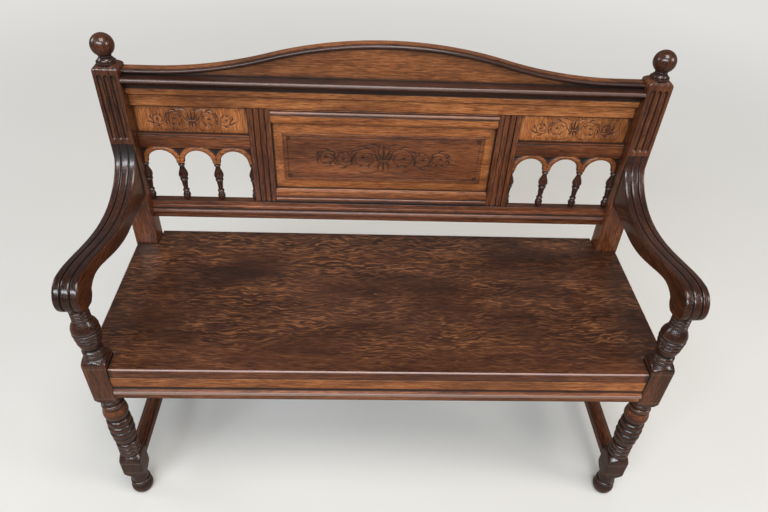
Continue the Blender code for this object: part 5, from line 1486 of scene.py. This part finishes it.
def relief_mesh(name, xs, zs, depth_at, back):
    """A panel with a front surface given by a depth at each place, and a flat back."""
    grid_x, grid_z = np.meshgrid(xs, zs)
    front, wax = depth_at(grid_x, grid_z)
    columns, rows = len(xs), len(zs)
    points = list(zip(grid_x.ravel(), front.ravel(), grid_z.ravel()))
    faces = []
    for j in range(rows - 1):
        for here in range(j * columns, (j + 1) * columns - 1):
            faces.append((here, here + 1, here + columns + 1, here + columns))
    kept = [*BACK_ROWS, *(rows - 1 - row for row in reversed(BACK_ROWS))]
    behind = {}
    for j in range(rows):
        for i in range(columns):
            if j in kept or i in (0, columns - 1):
                behind[i, j] = len(points)
                points.append((xs[i], back, zs[j]))
    for i in range(columns - 1):
        for low, high in zip(kept, kept[1:]):
            left = [behind[i, j] for j in (range(low, high + 1) if i == 0 else (low, high))]
            right = [behind[i + 1, j] for j in (range(low, high + 1) if i == columns - 2 else (low, high))]
            faces.append(tuple(left + right[::-1]))
    faces += grid_rim(lambda i, j: j * columns + i, behind, columns, rows)
    mesh = bpy.data.meshes.new(name)
    mesh.from_pydata(points, [], faces)
    return face_outwards(mesh), np.concatenate([wax.ravel(), np.full(len(behind), 0.5)])


def inset_from_edge(x, z, box):
    """Distance of each place to the nearest side of a box, positive inside."""
    x0, x1, z0, z1 = box
    return np.minimum(np.minimum(x - x0, x1 - x), np.minimum(z - z0, z1 - z))


def smooth_step(value, low, high):
    """0 below low, 1 above high, soft between."""
    share = np.clip((value - low) / (high - low), 0, 1)
    return share * share * (3 - 2 * share)


def lines(low, high, step, extra=()):
    """Evenly spaced places with a few exact ones added."""
    places = sorted([*np.linspace(low, high, int(round((high - low) / step)) + 1), *extra])
    return [p for i, p in enumerate(places) if i == 0 or p - places[i - 1] > 0.00012]


print("back rows", BACK_ROWS)

# %% [markdown]
# The centre panel slopes back at its edges like any panel that sits in a groove, and inside the
# slope stands a raised field. A scribed border and four small squares frame the scrollwork. The
# depth is one formula, and the grid gets extra lines where the field's step would look soft.

# %% Centre panel
CENTRE_BOX = (GAP - upright_near, upright_near - GAP, centre_low + GAP, centre_high - GAP)
SLOPE_WIDE, SLOPE_DEEP = 0.0237, 0.0035
FIELD_INSET, FIELD_STEP = 0.024, 0.0015
FIELD_X = upright_near - FIELD_INSET
FIELD = (-FIELD_X, FIELD_X, centre_low + FIELD_INSET, centre_high - FIELD_INSET)
BORDER_INSET = 0.0085
CORNER_X, CORNER_Z = 0.2145, 0.0485
CARVED_DEEP = 0.0011
centre_z = (centre_low + centre_high) / 2


def centre_depth(x, z):
    """Bevelled panel with a raised field, a scribed border and scrollwork."""
    inside = inset_from_edge(x, z, FIELD)
    front = panel_face - SLOPE_DEEP * np.clip(inset_from_edge(x, z, CENTRE_BOX) / SLOPE_WIDE, 0, 1)
    front = front - FIELD_STEP * smooth_step(inside, -0.0004, 0.0006)
    border = line_at(inside, BORDER_INSET, 0.0011)
    square = np.maximum(np.abs(np.abs(x) - CORNER_X), np.abs(np.abs(z - centre_z) - CORNER_Z))
    corner = smooth_step(-square, -0.0056, -0.0046)
    cut = np.maximum(np.maximum(border, corner) * 0.8, stroke_depth(x, z - centre_z, CENTRE_STROKES))
    # The second value paints the cuts, the border and the squares dark, as wax and painted shade.
    return front + CARVED_DEEP * cut, 0.5 + 0.32 * cut


def centre_tone(x, y, z):
    """Gold on the slope, brown on the field."""
    return 0.14 + 0.86 * smooth_step(-inset_from_edge(x, z, FIELD), 0.0, 0.004)


extra_x = [side * (FIELD_X + step) for side in (-1, 1) for step in (0.0004, -0.0006, -0.0085, -0.0068)]
extra_z = (FIELD[2] - 0.0004, FIELD[2] + 0.0006, FIELD[3] - 0.0006, FIELD[3] + 0.0004)
xs = lines(*CENTRE_BOX[:2], 0.0014, extra_x)
zs = lines(*CENTRE_BOX[2:], 0.0014, extra_z)
mesh, wax = relief_mesh("raised_panel", xs, zs, centre_depth, panel_back)
finish_piece("raised_panel", mesh, brown_x, ["centre_panel"], centre_tone, wax)

# %% [markdown]
# The two small panels are the lightest wood on the bench, with their grain upright. They are the
# same kind of grid with a softer edge. The left one is the right one mirrored, as a carver would
# do it, and its faces are turned round after the mirroring.

# %% Side panels
side_box = (upright_far + GAP, post_inner - GAP, middle_high + GAP, top_low - GAP)
side_x = (side_box[0] + side_box[1]) / 2
side_z = (side_box[2] + side_box[3]) / 2


def side_depth(x, z):
    """Nearly flat panel with a bevelled edge and small scrollwork."""
    edge = inset_from_edge(x, z, side_box)
    carving = stroke_depth(x - side_x, z - side_z, SIDE_STROKES)
    front = panel_face - 0.002 * smooth_step(edge, 0.0, 0.014) + CARVED_DEEP * carving
    # The border value paints shade, with wax, along the edge where the panel meets its frame.
    border = 0.24 * (1 - smooth_step(edge, 0.0, 0.007))
    return front, 0.5 + np.maximum(0.36 * carving, border)


xs = lines(*side_box[:2], 0.0010)
zs = lines(*side_box[2:], 0.0010)
for side, word in ((-1, "left"), (1, "right")):
    mesh, wax = relief_mesh(f"carved_panel_{word}", xs, zs, side_depth, panel_back)
    if side < 0:
        mesh.transform(Matrix.Diagonal((-1, 1, 1, 1)))
        mesh.flip_normals()
    finish_piece(f"carved_panel_{word}", mesh, gold_z, [f"side_panel_{word}"], wax=wax)

# %% [markdown]
# Two wide mouldings close the centre panel above and below. Each has a quirk, a round bead and
# a long flat that leans back at its far edge. One section serves both, with its bead turned to
# the top for the upper one.

# %% Centre mouldings
def centre_moulding(low, high, flip):
    """Moulding in Y and Z; flip turns the bead to the top."""
    height = high - low
    section = [(frame_back, GAP), (frame_face, GAP), (frame_face, 0.003)]
    section += half_round(frame_face + 0.0012, frame_face - 0.003, 0.004, 0.0135, 10)
    section += [(frame_face, 0.0150), (frame_face, height - 0.006), (frame_face + 0.003, height),
                (frame_back, height)]
    return eased([(y, high - z if flip else low + z) for y, z in section], 0.0007)


moulding_ends = (GAP - upright_near, upright_near - GAP)
run_along("panel_moulding_low", centre_moulding(bottom_high, centre_low, False), moulding_ends, brown_x,
          ["centre_moulding_bottom"], tone=lambda x, y, z: 0.5 * (z > bottom_high + 0.019))
# The upper moulding's rule paints a dark line under the bead, as painted shade with wax, and a painted
# highlight along the bead.
run_along("panel_moulding_high", centre_moulding(centre_high, top_low, True), moulding_ends, gold_x,
          ["centre_moulding_top"], tone=lambda x, y, z: 0.6 * (z > top_low - 0.0140),
          wax=lambda x, y, z: 0.5 + 0.45 * line_at(z, top_low - 0.0145, 0.0012)
          - 0.32 * ((y < frame_face - 0.0018) & (z > top_low - 0.0090)))

# %% [markdown]
# Between the uprights and the posts small round arches stand on turned spindles. One bay is
# modelled once, and a tree repeats it. The same tree repeats the spindle, so both keep one
# pitch. An Array modifier would repeat them as well; a tree also names its inputs.

# %% Row tree
def row_tree():
    """Repeats what comes in, Count times at Pitch along X, from First."""
    tree, start = new_tree("row_of_pieces", {"Count": "Int", "Pitch": "Float", "First": "Float"})
    first = add_node(tree, "ShaderNodeCombineXYZ", None, X=start.outputs["First"])
    pitch = add_node(tree, "ShaderNodeCombineXYZ", None, X=start.outputs["Pitch"])
    line = add_node(tree, "GeometryNodeMeshLine", None, Count=start.outputs["Count"], Offset=pitch.outputs[0],
                    **{"Start Location": first.outputs[0]})
    repeat = add_node(tree, "GeometryNodeInstanceOnPoints", None, Points=line.outputs[0],
                      Instance=start.outputs["Geometry"])
    return end_tree(tree, start, repeat.outputs[0], 0.00001)


ROW = row_tree()
BAYS = 3
BAY = (post_inner - upright_far) / BAYS
ARCH_RADIUS = (BAY - 0.017) / 2
BAY_TOP = middle_low - GAP
SPRING = middle_low - ARCH_RADIUS - 0.0107
print("bay", round(BAY, 5), "arch radius", round(ARCH_RADIUS, 5), "spring", round(SPRING, 5))

# %% [markdown]
# A bay is a board with a half-round opening. Along the arch runs a rim with a shallow hollow, and
# the corners above it are chip-cut, as if a knife had taken a slanting chip out of each. Rings of
# points go from the arch out to the bay's edges, so that all of this follows the curve.

# %% Arcade bays
ARCADE_FRONT = frame_face + 0.003
ARCADE_BACK = ARCADE_FRONT + 0.011
RIM = 0.0098
CHIP_SLOPE, CHIP_WIDE = 0.55, 0.0060
RIM_STEPS = (0, 0.0006, 0.0014, 0.0026, 0.0045, 0.0064, 0.0080, 0.0091, 0.0098, 0.0102, 0.0112)


def bay_edge(turn):
    """Distance from the arch's centre to the side or top of the bay, at an angle."""
    c, s = math.cos(turn), math.sin(turn)
    across = BAY / 2 / abs(c) if abs(c) > 1e-6 else 1.0
    upward = (BAY_TOP - SPRING) / s if s > 1e-6 else 1.0
    return min(across, upward)


def bay_front(away, z):
    """Front of the arcade at a distance from the arch: a broad rim, and chip-cut corners."""
    rim = 0.0024 * (2 * away / RIM - 1) ** 4 - 0.0012 if away < RIM else 0.0
    room = min(away - RIM, BAY_TOP - 0.0022 - z)
    return ARCADE_FRONT + rim + CHIP_SLOPE * min(max(room, 0.0), CHIP_WIDE)


def bay_mesh():
    """One bay of the arcade, centred on X = 0."""
    corner = round(math.atan2(BAY_TOP - SPRING, BAY / 2), 6)
    turns = sorted({*np.linspace(0, math.pi, 73).round(6), corner, round(math.pi - corner, 6)})
    rings = []
    for turn in turns:
        reach = bay_edge(turn) - ARCH_RADIUS
        steps = [min(s, reach * (0.7 + 0.02 * i)) for i, s in enumerate(RIM_STEPS)]
        steps += list(np.linspace(steps[-1], reach, 10)[1:])
        ring = []
        for away in steps:
            z = SPRING + (ARCH_RADIUS + away) * math.sin(turn)
            ring.append(((ARCH_RADIUS + away) * math.cos(turn), bay_front(away, z), z))
        ring += [(ring[i][0], ARCADE_BACK, ring[i][2]) for i in (-1, 0)]
        rings.append(ring)
    return loft_mesh("bay", rings)


def arcade_wax_and_shade(x, y, z):
    """Dark on the slanting walls of the chips, as painted shade with wax."""
    return 0.5 + 0.40 * (np.abs(y - ARCADE_FRONT - 0.0026) < 0.0014)


for first, word in ((BAY / 2 - post_inner, "left"), (BAY / 2 + upright_far, "right")):
    mesh = grown_mesh(f"arcade_{word}", bay_mesh(), ROW,
                      {"Count": BAYS, "Pitch": BAY, "First": first, "Finish": brown_x})
    finish_piece(f"arcade_{word}", mesh, brown_x, [f"arcade_board_{word}"],
                 lambda x, y, z: 0.65 * (y < ARCADE_FRONT + 0.0011), arcade_wax_and_shade)

# %% [markdown]
# A spindle is lathe work the thickness of a finger: foot, ring, tapering shaft, ring, bulge and
# collar. Two whole ones stand in each arcade, and a half one is glued against the upright and
# against the post. A turner makes halves by splitting a spindle, and here half rings do it.

# %% Spindles
SPINDLE_Y = ARCADE_FRONT + 0.0055


def spindle_profile():
    """Radii of a spindle from the bottom rail to the arcade."""
    height = SPRING - bottom_high
    foot, ring = 0.10 * height, 0.07 * height
    return turned(bottom_high + GAP, SPRING - GAP, 0.0050, [
        ("swell", foot, 0.0088), ("taper", foot, 0.0050), ("bead", ring, 0.0076),
        ("cone", 0.24 * height, 0.0074), ("bead", ring, 0.0092), ("swell", 0.08 * height, 0.0108),
        ("ease", None, 0.0050), ("bead", ring, 0.0076), ("line", ring / 3, 0.0050)], 6)


def half_spindle_mesh(name, x, facing):
    """Half a spindle, flat against a side."""
    rings = []
    for radius, z in spindle_profile():
        turns = [math.pi * i / 24 - math.pi / 2 for i in range(25)]
        rings.append([(x + facing * max(radius * math.cos(turn), 0), SPINDLE_Y + radius * math.sin(turn), z)
                      for turn in turns])
    return loft_mesh(name, rings)


spindle_wax_shade_and_highlight = grooves(spindle_profile(), 0.005, 0.0018)
for side, word, first in ((-1, "left", BAY - post_inner), (1, "right", BAY + upright_far)):
    whole = turned_mesh("spindle", (0, SPINDLE_Y), spindle_profile(), 40)
    mesh = grown_mesh(f"spindles_{word}", whole, ROW,
                      {"Count": BAYS - 1, "Pitch": BAY, "First": first, "Finish": dark_z})
    finish_piece(f"spindles_{word}", mesh, dark_z, [f"spindle_{word}_1", f"spindle_{word}_2"],
                 wax=spindle_wax_shade_and_highlight)
    for place, x, facing in (("inner", side * (upright_far + GAP), side), ("outer", side * rail_end, -side)):
        mesh = half_spindle_mesh(f"split_spindle_{word}_{place}", x, facing)
        finish_piece(f"split_spindle_{word}_{place}", mesh, dark_z,
                     [f"half_spindle_{word}_{place}"], wax=spindle_wax_shade_and_highlight)

# %% [markdown]
# The boards that stay plain still need softened edges, because a perfectly sharp edge never
# catches the light as real wood does. Each is a copy of its CAD solid, and a Bevel modifier
# rounds the edges, which is the quickest way where the shape is right already.

# %% Softened boards
BOARD_EDGE = 0.0012


def softened(node, name, material, tone=None):
    """A copy of a CAD solid with rounded edges."""
    shape = bmesh.new()
    shape.from_mesh(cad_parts[node].data)
    bmesh.ops.dissolve_limit(shape, angle_limit=math.radians(1), verts=shape.verts, edges=shape.edges)
    mesh = bpy.data.meshes.new(name)
    shape.to_mesh(mesh)
    shape.free()
    carrier = bpy.data.objects.new(name, mesh)
    bpy.context.scene.collection.objects.link(carrier)
    bevel = carrier.modifiers.new("soften", "BEVEL")
    bevel.width = BOARD_EDGE
    bevel.segments = 3
    bevel.limit_method = "ANGLE"
    bevel.angle_limit = math.radians(40)
    return finish_piece(name, cut_slab(baked_mesh(carrier, name)), material, [node], tone)


for word in ("left", "right"):
    softened(f"side_stretcher_{word}", f"stretcher_{word}", dark_y, lambda x, y, z: 0.5 + 0 * x)
    softened(f"side_seat_rail_{word}", f"side_rail_{word}", dark_y)
softened("rear_seat_rail", "rear_rail", dark_x)

# %% [markdown]
# What is left of the CAD is hidden or tiny: bearers and corner blocks of unpolished oak under
# the seat, dowels, wooden pellets over the arm screws, and the screws. Their shapes are right
# already, so they only get a finish.

# %% Kept CAD pieces
def keep(node, material):
    """A CAD node that stays as it is, with a better finish."""
    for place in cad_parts[node].material_slots:
        place.material = material


for word in ("left", "right"):
    keep(f"seat_bearer_{word}", plain_y)
    keep(f"arm_screw_{word}", steel)
    keep(f"arm_screw_pellet_{word}", dark_y)
    for place in ("front", "rear"):
        keep(f"corner_block_{place}_{word}", plain_x)
    for number in (1, 2):
        keep(f"seat_screw_{word}_{number}", steel)
for number in (1, 2, 3, 4):
    keep(f"crest_dowel_{number}", plain_x)
print("kept pieces done")

# %% [markdown]
# Shade falls, and old polish gathers, where a duster can't reach: in the corner where two pieces
# meet, under a moulding, round a spindle's foot. The darkening there is painted shade, with some wax
# in it. A shader can look for that too, but its answer isn't kept with the mesh, so it is measured
# once in mesh code. From each point a few short rays look around; the more of them strike wood
# close by, the darker the painted shade gets there.

# %% Painted shade in the corners
SHADE_REACH = 0.015
SHADE_START = 0.0006
SHADE_STRENGTH = 1.8
LOOKS = [(0.94, 0.34, 0.0), (0.94, -0.17, 0.29), (0.94, -0.17, -0.29), (0.55, 0.0, 0.83), (0.55, 0.72, -0.42),
         (0.55, -0.72, -0.42), (0.22, 0.97, 0.0), (0.22, -0.49, 0.84), (0.22, -0.49, -0.84)]


def bench_tree(pieces):
    """All the pieces' faces as one tree to look into."""
    points, faces = [], []
    for piece in pieces:
        base = len(points)
        points += [vertex.co[:] for vertex in piece.data.vertices]
        faces += [tuple(base + i for i in face.vertices) for face in piece.data.polygons]
    return BVHTree.FromPolygons(points, faces)


def struck_share(vertex, tree):
    """How much of what nine short looks from a point strike is wood close by."""
    normal = vertex.normal
    side = normal.orthogonal().normalized()
    other = normal.cross(side)
    struck = 0.0
    for ahead, across, along in LOOKS:
        look = normal * ahead + side * across + other * along
        distance = tree.ray_cast(vertex.co + normal * SHADE_START, look, SHADE_REACH)[3]
        if distance is not None:
            struck += 1 - distance / SHADE_REACH
    return struck / len(LOOKS)


bench = [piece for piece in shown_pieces() if piece.type == "MESH"]
tree = bench_tree(bench)
dressed = [piece for piece in bench if piece.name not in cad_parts]
for piece in dressed:
    grime = np.array([struck_share(vertex, tree) for vertex in piece.data.vertices])
    store(piece.data, "grime", SHADE_STRENGTH * smoothed(grime, *neighbours(piece.data), 3))
print("polish marked on", len(dressed), "pieces")
